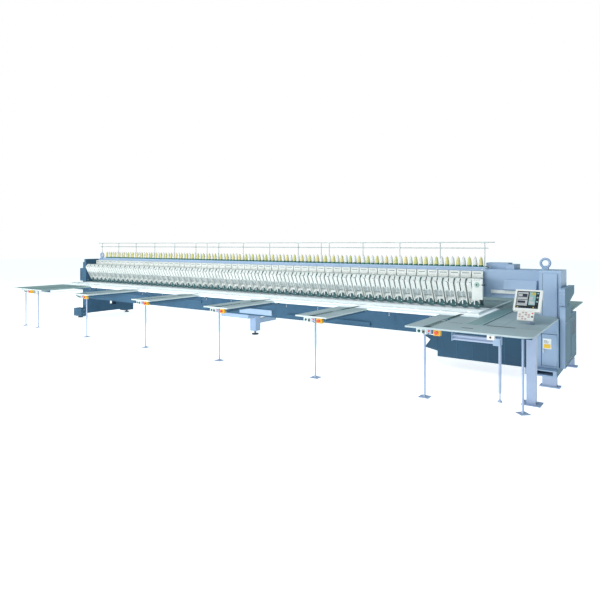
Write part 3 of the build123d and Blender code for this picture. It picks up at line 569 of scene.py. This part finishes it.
def head_foot():
    """Round-bottomed dark casting in front of each needle, with a painted highlight on its front, and the
    bracket at its right.
    """
    shape = Shape()
    bowl = [(-0.050, 0.956), (0.108, 0.956), (0.107, 0.946), (0.098, 0.929), (0.080, 0.914), (0.060, 0.907),
            (0.030, 0.905), (-0.002, 0.907), (-0.022, 0.914), (-0.040, 0.929), (-0.049, 0.946)]
    # Paler inset on the front of the bowl: a painted highlight.
    centre = [(-0.026, 0.957), (0.084, 0.957), (0.076, 0.942), (0.054, 0.931), (0.030, 0.928), (0.004, 0.931),
              (-0.018, 0.942)]
    shape.prism(bowl, "Y", -0.152, -0.046, 0)
    shape.prism(centre, "Y", -0.1545, -0.151, 1)
    skirt = [(-0.050, 0.956), (0.074, 0.956), (0.074, 0.985), (0.052, 0.996), (0.040, 1.014), (-0.014, 1.014),
             (-0.028, 0.996), (-0.050, 0.985)]
    shape.prism(skirt, "Y", -0.168, -0.1605, 0)
    shape.box((-0.006, 0.010), (-0.176, -0.166), (0.958, 1.022), 2)
    shape.box((-0.044, 0.066), (-0.1690, -0.1675), (0.972, 0.976), 1)
    shape.stud((0.062, -0.153, 0.945), (0, -1, 0), (0.007, 0.004), (0.005, 0.005), 2, 14)
    shape.box((0.0775, 0.083), (-0.140, -0.045), (0.950, 1.048), 0)
    shape.box((0.0920, 0.0975), (-0.140, -0.045), (0.950, 1.048), 0)
    shape.box((0.0775, 0.0975), (-0.142, -0.044), (1.040, 1.050), 0)
    shape.box((0.083, 0.092), (-0.120, -0.045), (0.955, 1.040), 1)
    return shape


COVER_Y = -0.332
COVER_X = 0.088
DIAL_X, DIAL_Z = 0.080, 1.265


def end_head_cover():
    """Flat cover over the right-hand head, with screws, two lines and a ring for the dial."""
    end_cover = Shape()
    end_cover.prism([(0.010, COVER_Y), (0.160, COVER_Y), (0.164, COVER_Y + 0.004), (0.164, -0.302),
                     (COVER_X, -0.302), (COVER_X, 0.014), (0.0765, 0.014), (0.0765, -0.326), (0.010, -0.326)],
                    "Z", 1.050, 1.350, 0)
    for z in (1.083, 1.128):
        end_cover.box((0.010, 0.134), (COVER_Y - 0.0008, COVER_Y + 0.001), (z, z + 0.003), 1)
    for x in (0.050, 0.074, 0.098, 0.122):
        end_cover.stud((x, COVER_Y, 1.334), (0, -1, 0), (0.005, 0.003), (0.004, 0.004), 3)
    for y, z in ((-0.290, 1.068), (-0.290, 1.332), (-0.010, 1.068), (-0.010, 1.332)):
        end_cover.stud((COVER_X, y, z), (1, 0, 0), (0.006, 0.002), (0.004, 0.003), 2)
    end_cover.turned((DIAL_X, COVER_Y, DIAL_Z), (0, -1, 0), [(-0.001, 0.040), (0.0003, 0.040)], 4, 28)
    end_cover.piece("end_head_cover", "head_row", [ENAMEL, ENAMEL_GREY, STEEL, CASTING, GREEN_PALE],
                    "head_white", soft=0.0008)


DIAL_Y = COVER_Y - 0.014


def selector_handle():
    """Knob, ring of dots and black grip on the dial."""
    handle = Shape()
    handle.box((0.152, 0.2005), (-0.3495, -0.3385), (1.2575, 1.2725), 0)
    handle.stud((DIAL_X, DIAL_Y, DIAL_Z), (0, -1, 0), (0.013, 0.003), (0.010, 0.0038), 1, 20)
    for x, z in arc((DIAL_X, DIAL_Z), 0.021, 22.5, 337.5, 7):
        handle.turned((x, DIAL_Y, z), (0, -1, 0), [(-0.001, 0.0025), (0.0008, 0.0025)], 1, 8)
    handle.piece("selector_handle", "selector_dial", [RUBBER, CASTING], "cast_iron", soft=0.0006)


# ---- Thread stand ----

SHELF_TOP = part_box("thread_shelf")[1].z
CONE_X, CONE_Y = 0.015, 0.120


def cone(x):
    """A wound cone on its tapered core."""
    shape = Shape()
    low = SHELF_TOP + 0.0242
    profile = [(0, 0.030), (0.002, 0.0345), (0.008, 0.036), (0.030, 0.0335), (0.070, 0.028), (0.096, 0.0235),
               (0.108, 0.0195), (0.115, 0.014)]
    shape.turned((x, CONE_Y, low), (0, 0, 1), profile, 0, 24)
    shape.turned((x, CONE_Y, low + 0.1145), (0, 0, 1), [(0, 0.0100), (0.005, 0.0092), (0.006, 0.0075)],
                 1, 16)
    return shape


LOW_RAIL_Z, TOP_RAIL_Z = 1.793, 1.883
LOW_RAIL_Y, POST_Y = 0.177, 0.189


def thread_guides():
    """Square eye and curled wire on the guide rail over each cone."""
    guides = Shape()
    for x in (0, -PITCH / 2):
        guides.box(around(x, 0.009), around(LOW_RAIL_Y, 0.0075), around(LOW_RAIL_Z, 0.0075), 0)
        guides.pipe([(x, LOW_RAIL_Y, LOW_RAIL_Z + 0.004), (x, CONE_Y + 0.020, LOW_RAIL_Z + 0.010),
                     (x + 0.010, CONE_Y - 0.004, LOW_RAIL_Z), (x, CONE_Y - 0.012, LOW_RAIL_Z - 0.010),
                     (x - 0.010, CONE_Y, LOW_RAIL_Z - 0.004)], 0.0016, 0)
    guides.piece("thread_guides", "root", [DULL_STEEL], "steel", soft=0.001, copies=HEADS - 1)


POST_X = 0.054


def stand_clamps():
    """Clamps that hold the rails on each post."""
    clamps = Shape()
    clamps.box(around(POST_X, 0.016), around(POST_Y, 0.011), (TOP_RAIL_Z - 0.016, TOP_RAIL_Z + 0.0055), 0)
    clamps.box(around(POST_X, 0.060), (POST_Y - 0.0095, POST_Y - 0.0065),
               (TOP_RAIL_Z - 0.012, TOP_RAIL_Z + 0.005), 0)
    clamps.box(around(POST_X, 0.013), (LOW_RAIL_Y - 0.010, POST_Y + 0.010), around(LOW_RAIL_Z, 0.011), 0)
    clamps.turned((POST_X, POST_Y - 0.0095, TOP_RAIL_Z - 0.004), (0, -1, 0),
                  [(0, 0.005), (0.003, 0.005), (0.004, 0.003)], 0, 8)
    clamps.piece("stand_clamps", "root", [DULL_STEEL], "steel", soft=0.001, copies=15, step=0.7)


def stand_end_bracket():
    """Two bent rods at the right end of the shelf."""
    bracket = Shape()
    bracket.pipe([(0.070, 0.090, 1.515), (0.085, 0.040, 1.518), (0.125, 0.010, 1.500), (0.150, 0.030, 1.484),
                  (0.120, 0.046, 1.4825)], 0.007, 0)
    bracket.pipe([(0.074, 0.160, 1.515), (0.115, 0.115, 1.520), (0.160, 0.070, 1.516), (0.172, 0.060, 1.500),
                  (0.150, 0.060, 1.4885)], 0.006, 0)
    bracket.piece("stand_end_bracket", "root", [DULL_STEEL], "steel", soft=0)


# ---- Tables and bed ----

TABLE_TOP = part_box("arm_tables")[1].z
TABLE_UNDER = 0.8618
LEFT_SLOT_X = -8.900
SLOT_XS = [LEFT_SLOT_X] + STATION_XS[1:]
ARM_XS = STATION_XS[1:5]
SLOT_HALF = 0.032
SLOT_FRONT_Y, SLOT_BACK_Y = -2.060, -0.970
SLIDER_FRONT_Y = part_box("y_carriages")[0].y - NEEDLE.y
SLOT_PLATES_END_Y = SLIDER_FRONT_Y + JOINTS["sash_y"]["range_m"][0] - 0.002
PLATE_LENGTH, PLATE_STEP = 0.020, 0.062


def above_table(low, high):
    """A span of height counted from the table's top."""
    return TABLE_TOP + low, TABLE_TOP + high


def slot_cover(shape, x):
    """Cover strip with dark crosswise plates ahead of the slider's reach, an end block and two rails."""
    width = (x - SLOT_HALF + 0.0005, x + SLOT_HALF - 0.0005)
    y = SLOT_FRONT_Y + 0.055
    while y + PLATE_LENGTH + 0.002 < SLOT_PLATES_END_Y:
        shape.box(width, (y, y + PLATE_LENGTH), above_table(-0.004, -0.0005), 0)
        y += PLATE_STEP
    shape.box(width, (SLOT_FRONT_Y, SLOT_PLATES_END_Y), above_table(-0.0060, -0.0042), 2)
    shape.box(around(x, 0.042), (SLOT_FRONT_Y - 0.058, SLOT_FRONT_Y + 0.040),
              above_table(0.0001, 0.0012), 0)
    for side in (-1, 1):
        edge = x + side * (SLOT_HALF + 0.006)
        shape.box(around(edge, 0.004), (SLOT_FRONT_Y, SLOT_BACK_Y), above_table(0, 0.0012), 1)


def slot_plates():
    """Covers of the table slots."""
    plates = Shape()
    for x in SLOT_XS:
        slot_cover(plates, x)
    plates.piece("slot_plates", "root", [SLOT_DARK, TRIM_GREEN, EDGE_BAND], "aluminium", soft=0.0004)


def slider_treads():
    """Rubber treads along each slider."""
    runners = Shape()
    for x in SLOT_XS:
        for k in range(8):
            y = SLIDER_FRONT_Y + 0.015 + 0.055 * k
            runners.box(around(x, 0.020), (y, y + 0.030), above_table(0.0004, 0.0011), 0)
    runners.piece("slider_treads", "y_carriages", [RUBBER], "rubber", soft=0)


SEAM = above_table(-0.0005, 0.0006)


def table_seams():
    """Dark seams between the table sheets, and short slots in the right-hand table."""
    seams = Shape()
    for x in [-1.70 - 1.40 * k for k in range(6)] + [-0.30]:
        seams.box(around(x, 0.0012), (-0.966, 0.149), SEAM, 0)
        seams.box(around(x, 0.0012), (0.151, 1.984), SEAM, 0)
    for y in (0.151, 0.78, 1.38):
        seams.box((-9.63, 1.19), (y, y + 0.0024), SEAM, 0)
    seams.box((0.316, 1.163), (-1.5930, -1.5906), SEAM, 0)
    seams.box((0.560, 0.880), (-1.622, -1.582), above_table(0, 0.0012), 0)
    seams.box((0.100, 0.262), (-1.606, -1.594), above_table(0, 0.0010), 0)
    seams.box((0.358, 0.487), (-1.936, -1.908), above_table(0, 0.0012), 0)
    seams.box((0.7200, 0.7224), (-1.59, -0.31), SEAM, 0)
    seams.piece("table_seams", "root", [DARK_PLASTIC], "dark_plastic", soft=0)


def slide_cover_edges():
    """Bright edges and screws of the cover strip on the right-hand table."""
    strip = Shape()
    for x in (0.322, 0.508):
        strip.box((x, x + 0.008), (-1.598, 0.348), above_table(0.010, 0.0112), 0)
    for y in (-1.50, -1.10, -0.70, -0.30, 0.10):
        for x in (0.338, 0.500):
            strip.turned((x, y, TABLE_TOP + 0.0098), (0, 0, 1),
                         [(0, 0.006), (0.0015, 0.006), (0.0022, 0.004)], 1, 12)
    strip.piece("slide_cover_edges", "root", [ALUMINIUM, STEEL], "aluminium", soft=0.0005)


EDGE_Z = above_table(-0.0195, -0.0005)


def table_edge_bands():
    """Pale bands round the table edges."""
    trim = Shape()
    for x in ARM_XS:
        trim.box(around(x, 0.250), (-2.1315, -2.1298), EDGE_Z, 0)
        for side in (-1, 1):
            edge = x + side * 0.2505
            trim.box(around(edge, 0.0008), (-2.130, -0.967), EDGE_Z, 0)
    trim.box((-9.655, -8.470), (-2.1215, -2.1198), EDGE_Z, 0)
    trim.piece("table_edge_bands", "root", [EDGE_BAND], "panel_white", soft=0)


def table_bearers():
    """Bearers under the tables, in the darker blue of painted shade."""
    under = Shape()
    for x in ARM_XS:
        for side in (-1, 1):
            inner = x + side * 0.200
            under.box(around(inner, 0.020), (-2.090, -0.968), (0.826, TABLE_UNDER), 0)
        under.box(around(x, 0.180), (-1.950, -1.890), (0.832, TABLE_UNDER), 0)
    for y in (-1.950, -1.150):
        under.box((-9.640, -8.500), (y, y + 0.040), (0.826, TABLE_UNDER), 0)
    under.box((0.060, 1.120), (-1.960, -1.910), (0.822, TABLE_UNDER), 0)
    under.box((0.060, 1.120), (-1.100, -1.050), (0.822, TABLE_UNDER), 0)
    under.piece("table_bearers", "root", [BLUE_PAINTED_SHADE], "frame_blue", soft=0.002)


def under_table_pipes():
    """Three pipes under the right-hand table with their end brackets and a small box."""
    duct = Shape()
    for y, z in ((-1.86, 0.775), (-1.86, 0.735), (-1.80, 0.755)):
        duct.rod((0.225, y, z), (0.760, y, z), 0.015, 0, 14)
    duct.box((0.225, 0.235), (-1.885, -1.775), (0.712, 0.862), 1)
    duct.box((0.700, 0.775), (-1.890, -1.775), (0.705, 0.790), 1)
    duct.box((0.705, 0.715), (-1.885, -1.775), (0.790, 0.862), 1)
    duct.box((0.700, 0.775), (-2.140, -2.085), (0.812, 0.8615), 2)
    duct.rod((0.737, -2.141, 0.838), (0.737, -2.1475, 0.838), 0.012, 3, 14)
    duct.piece("under_table_pipes", "root", [BLUE_PALE, BLUE, WHITE_PLASTIC, DARK_PLASTIC], "leg_blue",
               soft=0.0015)


SASH_TOP = 0.9034


def sash_clips():
    """Cloth clips and wires on the sash."""
    clips = Shape()
    for k in range(27):
        x = -9.40 + 0.350 * k
        for y in (-0.752, 1.156):
            clips.box(around(x, 0.022), (y, y + 0.024), (SASH_TOP, SASH_TOP + 0.0051), 0)
    for y in (-0.7235, 1.1505):
        clips.box((-9.73, 0.222), (y, y + 0.003), (SASH_TOP, SASH_TOP + 0.0026), 1)
    clips.piece("sash_clips", "sash_frame", [WHITE_PLASTIC, STEEL], "aluminium", soft=0.001)


# ---- Stations ----

FACE_Y = -2.122


def switch_cases():
    """Case, knobs and frames of each start-stop box."""
    boxes = Shape()
    for x in STATION_XS:
        boxes.box((x - 0.119, x + 0.010), (FACE_Y, FACE_Y + 0.050), (0.798, TABLE_UNDER), 0)
        boxes.box((x + 0.012, x + 0.060), (FACE_Y + 0.003, FACE_Y + 0.050), (0.800, TABLE_UNDER), 1)
        boxes.box((x - 0.190, x - 0.121), (FACE_Y + 0.030, FACE_Y + 0.070), (0.815, TABLE_UNDER), 2)
        boxes.turned((x - 0.084, FACE_Y, 0.830), (0, -1, 0),
                     [(-0.001, 0.017), (0.004, 0.017), (0.006, 0.013), (0.010, 0.012), (0.011, 0.009)], 3, 18)
        boxes.stud((x + 0.036, FACE_Y + 0.003, 0.838), (0, -1, 0), (0.012, 0.004), (0.009, 0.006), 4, 16)
        boxes.stud((x + 0.036, FACE_Y + 0.003, 0.812), (0, -1, 0), (0.007, 0.004), (0.005, 0.005), 3)
        for side in (-0.0440, -0.0155):
            boxes.box((x + side, x + side + 0.0035), (FACE_Y - 0.0012, FACE_Y), (0.8045, 0.8495), 3)
        for z in (0.8045, 0.8460):
            boxes.box((x - 0.0405, x - 0.0155), (FACE_Y - 0.0012, FACE_Y), (z, z + 0.0035), 3)
    boxes.piece("switch_cases", "root", [EDGE_BAND, BLUE_PALE, BLUE_PAINTED_SHADE, CASTING, RED_PLASTIC],
                "panel_white", ["switch_boxes"], soft=0.002)


BUTTON_Z = 0.826
STOP_X, STOP_Z = (0.090, 0.170), (0.792, TABLE_UNDER)
HOLE_X, HOLE_Z = around(BUTTON_OFFSET, 0.013), around(BUTTON_Z, 0.013)
STOP_WALLS = [((STOP_X[0], HOLE_X[0]), STOP_Z), ((HOLE_X[1], STOP_X[1]), STOP_Z),
              (HOLE_X, (STOP_Z[0], HOLE_Z[0])), (HOLE_X, (HOLE_Z[1], STOP_Z[1]))]
COLLAR = [(0.0002, 0.0125), (0.0002, 0.0195), (0.002, 0.0195), (0.003, 0.018), (0.003, 0.0125)]


def estop_cases():
    """Yellow case round the stem hole of each stop button, with a collar and four screws."""
    stops = Shape()
    for x in STATION_XS:
        for (x0, x1), tall in STOP_WALLS:
            stops.box((x + x0, x + x1), (FACE_Y, FACE_Y + 0.055), tall, 0)
        stops.turned((x + BUTTON_OFFSET, FACE_Y, BUTTON_Z), (0, -1, 0), COLLAR, 0, 24, ring=True)
        for dx, dz in ((-0.033, -0.027), (0.033, -0.027), (-0.033, 0.028), (0.033, 0.028)):
            stops.stud((x + BUTTON_OFFSET + dx, FACE_Y, BUTTON_Z + dz), (0, -1, 0),
                       (0.003, 0.001), (0.002, 0.0015), 1, 8)
    stops.piece("estop_cases", "root", [YELLOW_PLASTIC, STEEL], "estop_yellow", ["estop_boxes"], soft=0.003)


# ---- Operator panel ----

PIVOT = Vector(JOINTS["panel_tilt"]["pos_m"])
TILT = math.radians(-38)


def operator_panel():
    """Tilted screen in its bezel, with the keypad under it and the hinge behind."""
    panel = Shape(PIVOT)
    panel.matrix = Matrix.Translation(PIVOT) @ Matrix.Rotation(TILT, 4, "X")

    def rounded(x, z, radius, steps=5):
        """Rectangle in X and Z with rounded corners."""
        (x0, x1), (z0, z1) = x, z
        corners = ((x1 - radius, z1 - radius), (x0 + radius, z1 - radius), (x0 + radius, z0 + radius),
                   (x1 - radius, z0 + radius))
        points = []
        for k, corner in enumerate(corners):
            points += arc(corner, radius, 90 * k, 90 * (k + 1), steps)
        return points

    panel.prism(rounded((-0.190, 0.124), (-0.008, 0.300), 0.014), "Y", -0.066, -0.030, 0)
    panel.prism(rounded((-0.150, 0.084), (0.020, 0.270), 0.010), "Y", -0.030, -0.020, 0)
    for k in range(7):
        z = 0.060 + 0.022 * k
        panel.box((-0.120, 0.054), (-0.0205, -0.0185), (z, z + 0.008), 1)
    for x, z in (((-0.190, -0.166), (0.006, 0.300)), ((0.092, 0.124), (0.006, 0.300)),
                 ((-0.166, 0.092), (0.278, 0.300)), ((-0.166, 0.092), (0.006, 0.030))):
        panel.box(x, (-0.0698, -0.066), z, 0)
    panel.box((-0.166, 0.092), (-0.0675, -0.066), (0.030, 0.278), 2)

    grey, teal, yellow, dark = 3, 4, 5, 6

    def pane(x, z, mat, lift=0.0):
        """A lit patch of the screen; a lift puts it over another."""
        panel.box(x, (-0.0685 - lift, -0.0670), z, mat)

    pane((-0.158, -0.036), (0.180, 0.262), grey)
    pane((-0.158, -0.036), (0.158, 0.178), grey)
    pane((-0.158, -0.036), (0.092, 0.150), grey)
    pane((-0.158, -0.036), (0.068, 0.088), grey)
    pane((-0.150, -0.044), (0.190, 0.240), dark, 0.0003)
    pane((-0.144, -0.100), (0.200, 0.232), grey, 0.0006)
    pane((-0.150, -0.060), (0.104, 0.138), dark, 0.0003)
    pane((-0.022, 0.052), (0.080, 0.268), teal)
    pane((0.006, 0.048), (0.222, 0.262), yellow, 0.0003)
    pane((-0.016, 0.020), (0.150, 0.200), grey, 0.0003)
    pane((-0.010, 0.044), (0.096, 0.132), grey, 0.0003)
    for k in range(6):
        pane((0.062, 0.084), (0.092 + 0.030 * k, 0.112 + 0.030 * k), teal if k % 2 else dark)
    for k in range(8):
        pane((-0.150 + 0.030 * k, -0.132 + 0.030 * k), (0.040, 0.054), yellow if k in (0, 6) else dark)
    panel.prism(rounded((-0.128, 0.058), (-0.134, -0.009), 0.008), "Y", -0.062, -0.042, 0)
    for row in range(4):
        for column in range(4):
            x0 = -0.112 + 0.034 * column
            z0 = -0.126 + 0.029 * row
            panel.prism(rounded((x0, x0 + 0.024), (z0, z0 + 0.020), 0.004, 3), "Y", -0.0655, -0.061,
                        7 if (row + column) % 3 else 0)
    panel.turned((0.040, -0.061, -0.034), (0, -1, 0), [(0, 0.009), (0.004, 0.009), (0.006, 0.006)], 8, 18)
    panel.turned((0.040, -0.061, -0.080), (0, -1, 0), [(0, 0.012), (0.003, 0.012), (0.005, 0.010)], 1, 20)
    panel.rod((-0.026, 0, 0), (0.026, 0, 0), 0.006, 9, 16)
    panel.box((-0.014, 0.014), (-0.030, 0.007), (-0.008, 0.008), 9)
    panel.piece("operator_panel", "control_panel",
                [WHITE_PLASTIC, DARK_PLASTIC, GLASS, LIT_GREY, LIT_TEAL, LIT_YELLOW, LIT_DARK, PINK_PLASTIC,
                 RED_PLASTIC, STEEL], "panel_white", ["control_panel"], soft=0.001)


# ---- Tower, beams and stand ----

DOOR_FRONT_Y = -0.464


def door_fittings():
    """Label, lock, handle and screws on the cabinet door."""
    door = Shape()
    door.box((0.980, 1.081), (DOOR_FRONT_Y - 0.0012, DOOR_FRONT_Y), (0.469, 0.605), 0)
    door.box((0.989, 1.072), (DOOR_FRONT_Y - 0.0020, DOOR_FRONT_Y - 0.0008), (0.478, 0.531), 1)
    for k, length in enumerate((0.052, 0.062, 0.040)):
        z = 0.544 + 0.015 * k
        door.box((0.991, 0.991 + length), (DOOR_FRONT_Y - 0.0018, DOOR_FRONT_Y - 0.0008), (z, z + 0.005), 2)
    door.stud((0.988, DOOR_FRONT_Y, 0.440), (0, -1, 0), (0.014, 0.004), (0.010, 0.006), 3, 18)
    door.box((0.984, 0.992), (DOOR_FRONT_Y - 0.018, DOOR_FRONT_Y - 0.003), (0.416, 0.464), 3)
    for x, z in ((0.976, 0.262), (1.130, 0.262), (0.976, 0.648), (1.130, 0.648)):
        door.stud((x, DOOR_FRONT_Y, z), (0, -1, 0), (0.005, 0.002), (0.003, 0.003), 3)
    door.piece("door_fittings", "cabinet_door", [LABEL_WHITE, LABEL_YELLOW, DARK_PLASTIC, STEEL],
               "panel_white", soft=0.0005)


CASING_X = 1.237
TOWER_FRONT_Y, TOWER_BACK_Y = -0.450, 0.850
DOOR_GAPS = [((0.955, 0.964), (0.236, 0.672)), ((0.955, 1.156), (0.662, 0.672)),
             ((0.964, 1.156), (0.236, 0.247))]
SHEET_SEAM = ((0.894, 0.897), (0.222, 0.850))


def tower_trim():
    """Door gaps, vents, panel lines and screws on the tower."""
    tower = Shape()
    for x, z in DOOR_GAPS + [SHEET_SEAM]:
        tower.box(x, (TOWER_FRONT_Y - 0.0012, TOWER_FRONT_Y), z, 1)
    for z0, z1 in ((0.215, 0.250), (0.660, 0.700)):
        tower.box((0.966, 1.142), (TOWER_FRONT_Y - 0.0035, TOWER_FRONT_Y - 0.0005),
                  (z0 + 0.006, z1 - 0.006), 0)
    tower.box((1.150, 1.1640), (TOWER_FRONT_Y - 0.0060, TOWER_FRONT_Y - 0.0005), (0.230, 0.850), 0)
    for k in range(9):
        z = 0.560 + 0.022 * k
        tower.box((CASING_X, CASING_X + 0.0014), (0.28, 0.60), (z, z + 0.010), 1)
    for y0, y1 in ((-0.36, 0.13), (0.16, 0.71)):
        for z0, z1 in ((0.240, 0.244), (0.836, 0.840)):
            tower.box((CASING_X, CASING_X + 0.0012), (y0, y1), (z0, z1), 1)
        for y in (y0, y1 - 0.004):
            tower.box((CASING_X, CASING_X + 0.0012), (y, y + 0.004), (0.240, 0.840), 1)
        for y in (y0 + 0.03, y1 - 0.03):
            for z in (0.27, 0.81):
                tower.stud((CASING_X, y, z), (1, 0, 0), (0.008, 0.002), (0.006, 0.0026), 2)
    for z in (0.92, 1.10, 1.28, 1.42):
        for x in (0.963, 1.112):
            tower.stud((x, -0.300, z), (0, -1, 0), (0.006, 0.002), (0.004, 0.003), 2)
    for x in (1.182, 1.228):
        tower.stud((x, TOWER_FRONT_Y, 1.200), (0, -1, 0), (0.006, 0.002), (0.004, 0.003), 2)
    for k in range(10):
        z = 1.14 + 0.024 * k
        tower.box((0.96, 1.11), (0.2322, 0.2338), (z, z + 0.012), 1)
    for k in range(12):
        z = 0.44 + 0.022 * k
        tower.box((0.86, 1.09), (TOWER_BACK_Y + 0.0002, TOWER_BACK_Y + 0.0018), (z, z + 0.010), 1)
    tower.box((0.943, 0.9495), (-0.2812, -0.2795), (0.884, 1.456), 1)
    tower.piece("tower_trim", "root", [BLUE, DARK_PLASTIC, STEEL], "frame_blue", soft=0.0006)


BEAM_FRONT_Y, BEAM_BACK_Y = 0.050, 0.500
BULGE_SLOPE = 0.407


def beam_fittings():
    """Studs, rear covers, cable duct and light strip on the upper beam."""
    beam = Shape()
    for k in range(15):
        x = 0.054 - 0.7 * k
        beam.stud((x, BEAM_FRONT_Y, 1.468), (0, -1, 0), (0.010, 0.005), (0.007, 0.007), 1)
    for k in range(8):
        x = -9.3 + 1.25 * k
        beam.box((x, x + 1.10), (BEAM_BACK_Y, BEAM_BACK_Y + 0.003), (1.110, 1.430), 0)
        for px in (x + 0.03, x + 0.55, x + 1.07):
            for z in (1.135, 1.405):
                beam.stud((px, BEAM_BACK_Y + 0.003, z), (0, 1, 0), (0.007, 0.002), (0.005, 0.003), 1)
    beam.box((-9.60, 0.86), (BEAM_BACK_Y, BEAM_BACK_Y + 0.040), (1.062, 1.098), 2)
    for x in (0.204, 0.400, 0.820):
        beam.stud((x, 0.020, 1.151), (0, -1, 0), (0.006, 0.003), (0.004, 0.004), 1)
    for x in (0.400, 0.795):
        for z in (1.210, 1.310):
            beam.turned((x, -0.035 + (z - 1.195) * BULGE_SLOPE, z), (0, -1, BULGE_SLOPE),
                        [(-0.002, 0.006), (0.002, 0.006), (0.003, 0.004)], 1, 12)
    beam.box((0.186, 0.859), (0.0185, 0.0202), (1.127, 1.175), 3)
    beam.piece("beam_fittings", "root", [BLUE, STEEL, ALUMINIUM, ENAMEL], "frame_blue", soft=0.0008)


LOWER_FRONT_Y = -0.350
DEEP_FRONT_Y = -0.430
ON_LOWER_Y = LOWER_FRONT_Y - 0.0005


def lower_beam_fittings():
    """Brackets, bolts and seams on the lower beam and the deep section."""
    lower = Shape()
    for x0, x1 in ((-5.46, -4.72), (-3.29, -2.90), (-2.40, -1.62)):
        lower.box((x0, x1), (-0.385, ON_LOWER_Y), (0.520, 0.580), 0)
    for x0, x1 in ((-9.40, -7.20), (-7.10, -5.50)):
        lower.box((x0, x1), (-0.372, ON_LOWER_Y), (0.640, 0.690), 0)
    lower.box((-4.45, -3.66), (-0.372, ON_LOWER_Y), (0.520, 0.620), 2)
    for k in range(14):
        x = -9.45 + 0.68 * k
        for z in (0.715, 0.742):
            lower.stud((x, LOWER_FRONT_Y, z), (0, -1, 0), (0.009, 0.006), (0.006, 0.008), 1, 6)
    for k in range(12):
        x = -9.20 + 0.80 * k
        lower.box((x, x + 0.010), (LOWER_FRONT_Y - 0.003, ON_LOWER_Y), (0.500, 0.750), 0)
    for k in range(6):
        x = -0.40 + 0.22 * k
        lower.box((x, x + 0.008), (DEEP_FRONT_Y - 0.0035, DEEP_FRONT_Y - 0.0005), (0.200, 0.740), 0)
    # The brackets take the darker blue of the lower beam, which is painted shade.
    lower.piece("lower_beam_fittings", "root", [BLUE_PAINTED_SHADE, STEEL, BLUE], "frame_blue", soft=0.0015)


UPRIGHT_RIGHT_X, STAND_RIGHT_X = -9.715, -9.650
HOUSING_FRONT_Y = -0.300


def stand_fittings():
    """Bolts, vents and screws on the left-hand stand."""
    stand = Shape()
    for y, z in ((-0.24, 0.95), (-0.24, 1.35), (0.36, 0.95), (0.36, 1.35), (0.0, 1.15)):
        stand.stud((UPRIGHT_RIGHT_X, y, z), (1, 0, 0), (0.012, 0.006), (0.008, 0.009), 1, 6)
    for k in range(8):
        z = 0.99 + 0.022 * k
        stand.box((-9.955, -9.880), (HOUSING_FRONT_Y - 0.0015, HOUSING_FRONT_Y + 0.0005), (z, z + 0.010), 2)
    for x in (-9.965, -9.865):
        for z in (0.935, 1.230):
            stand.stud((x, HOUSING_FRONT_Y, z), (0, -1, 0), (0.006, 0.002), (0.004, 0.003), 1)
    for y, z in ((-0.40, 0.10), (-0.40, 0.20)):
        stand.stud((STAND_RIGHT_X, y, z), (1, 0, 0), (0.010, 0.006), (0.007, 0.009), 1, 6)
    stand.piece("stand_fittings", "root", [BLUE_PAINTED_SHADE, STEEL, DARK_PLASTIC], "frame_blue", soft=0.0008)


# ---- Pieces and floor ----

head_casing().piece("head_casings", "head_row", [ENAMEL, ENAMEL_GREY, STEEL, CASTING, DULL_STEEL],
                    "head_white", ["needle_cases"], soft=0.0012, copies=HEADS)
tension_plate().piece("tension_plates", "head_row", [ENAMEL, ENAMEL_GREY, STEEL, WHITE_PLASTIC, SLOT_DARK],
                      "head_white", ["tension_panels"], soft=0.0012, copies=HEADS)
head_foot().piece("head_feet", "head_row", [CASTING, CASTING_PALE, STEEL], "cast_iron", soft=0.0012,
                  copies=HEADS)
end_head_cover()
selector_handle()
cone(CONE_X).piece("cones_wound_yellow", "root", [YARN_YELLOW, WHITE_PLASTIC], "thread_yellow",
                   ["cones_yellow"], soft=0, copies=HEADS - 1)
cone(CONE_X - PITCH / 2).piece("cones_wound_white", "root", [YARN_WHITE, WHITE_PLASTIC], "thread_white",
                               ["cones_white"], soft=0, copies=HEADS - 2)
thread_guides()
stand_clamps()
stand_end_bracket()
slot_plates()
slider_treads()
table_seams()
slide_cover_edges()
table_edge_bands()
table_bearers()
under_table_pipes()
sash_clips()
switch_cases()
estop_cases()
operator_panel()
door_fittings()
tower_trim()
beam_fittings()
lower_beam_fittings()
stand_fittings()

floor = bmesh.new()
bmesh.ops.create_grid(floor, x_segments=8, y_segments=8, size=60)
floor_mesh = bpy.data.meshes.new("floor")
floor.to_mesh(floor_mesh)
floor.free()
floor_finish = surface("floor_pale", (0.93, 0.94, 0.94), (0.95, 0.955, 0.955), scale=0.6, rough=(0.6, 0.75),
                       grain=30, depth=0.02)
floor_shader = floor_finish.node_tree.nodes["Principled BSDF"]
floor_shader.inputs["Emission Color"].default_value = (1.0, 1.0, 1.0, 1)
floor_shader.inputs["Emission Strength"].default_value = 0.75
floor_mesh.materials.append(floor_finish)
floor_object = bpy.data.objects.new("floor", floor_mesh)
floor_object.location.z = CAD_LOW.z - 0.0005
bpy.context.scene.collection.objects.link(floor_object)
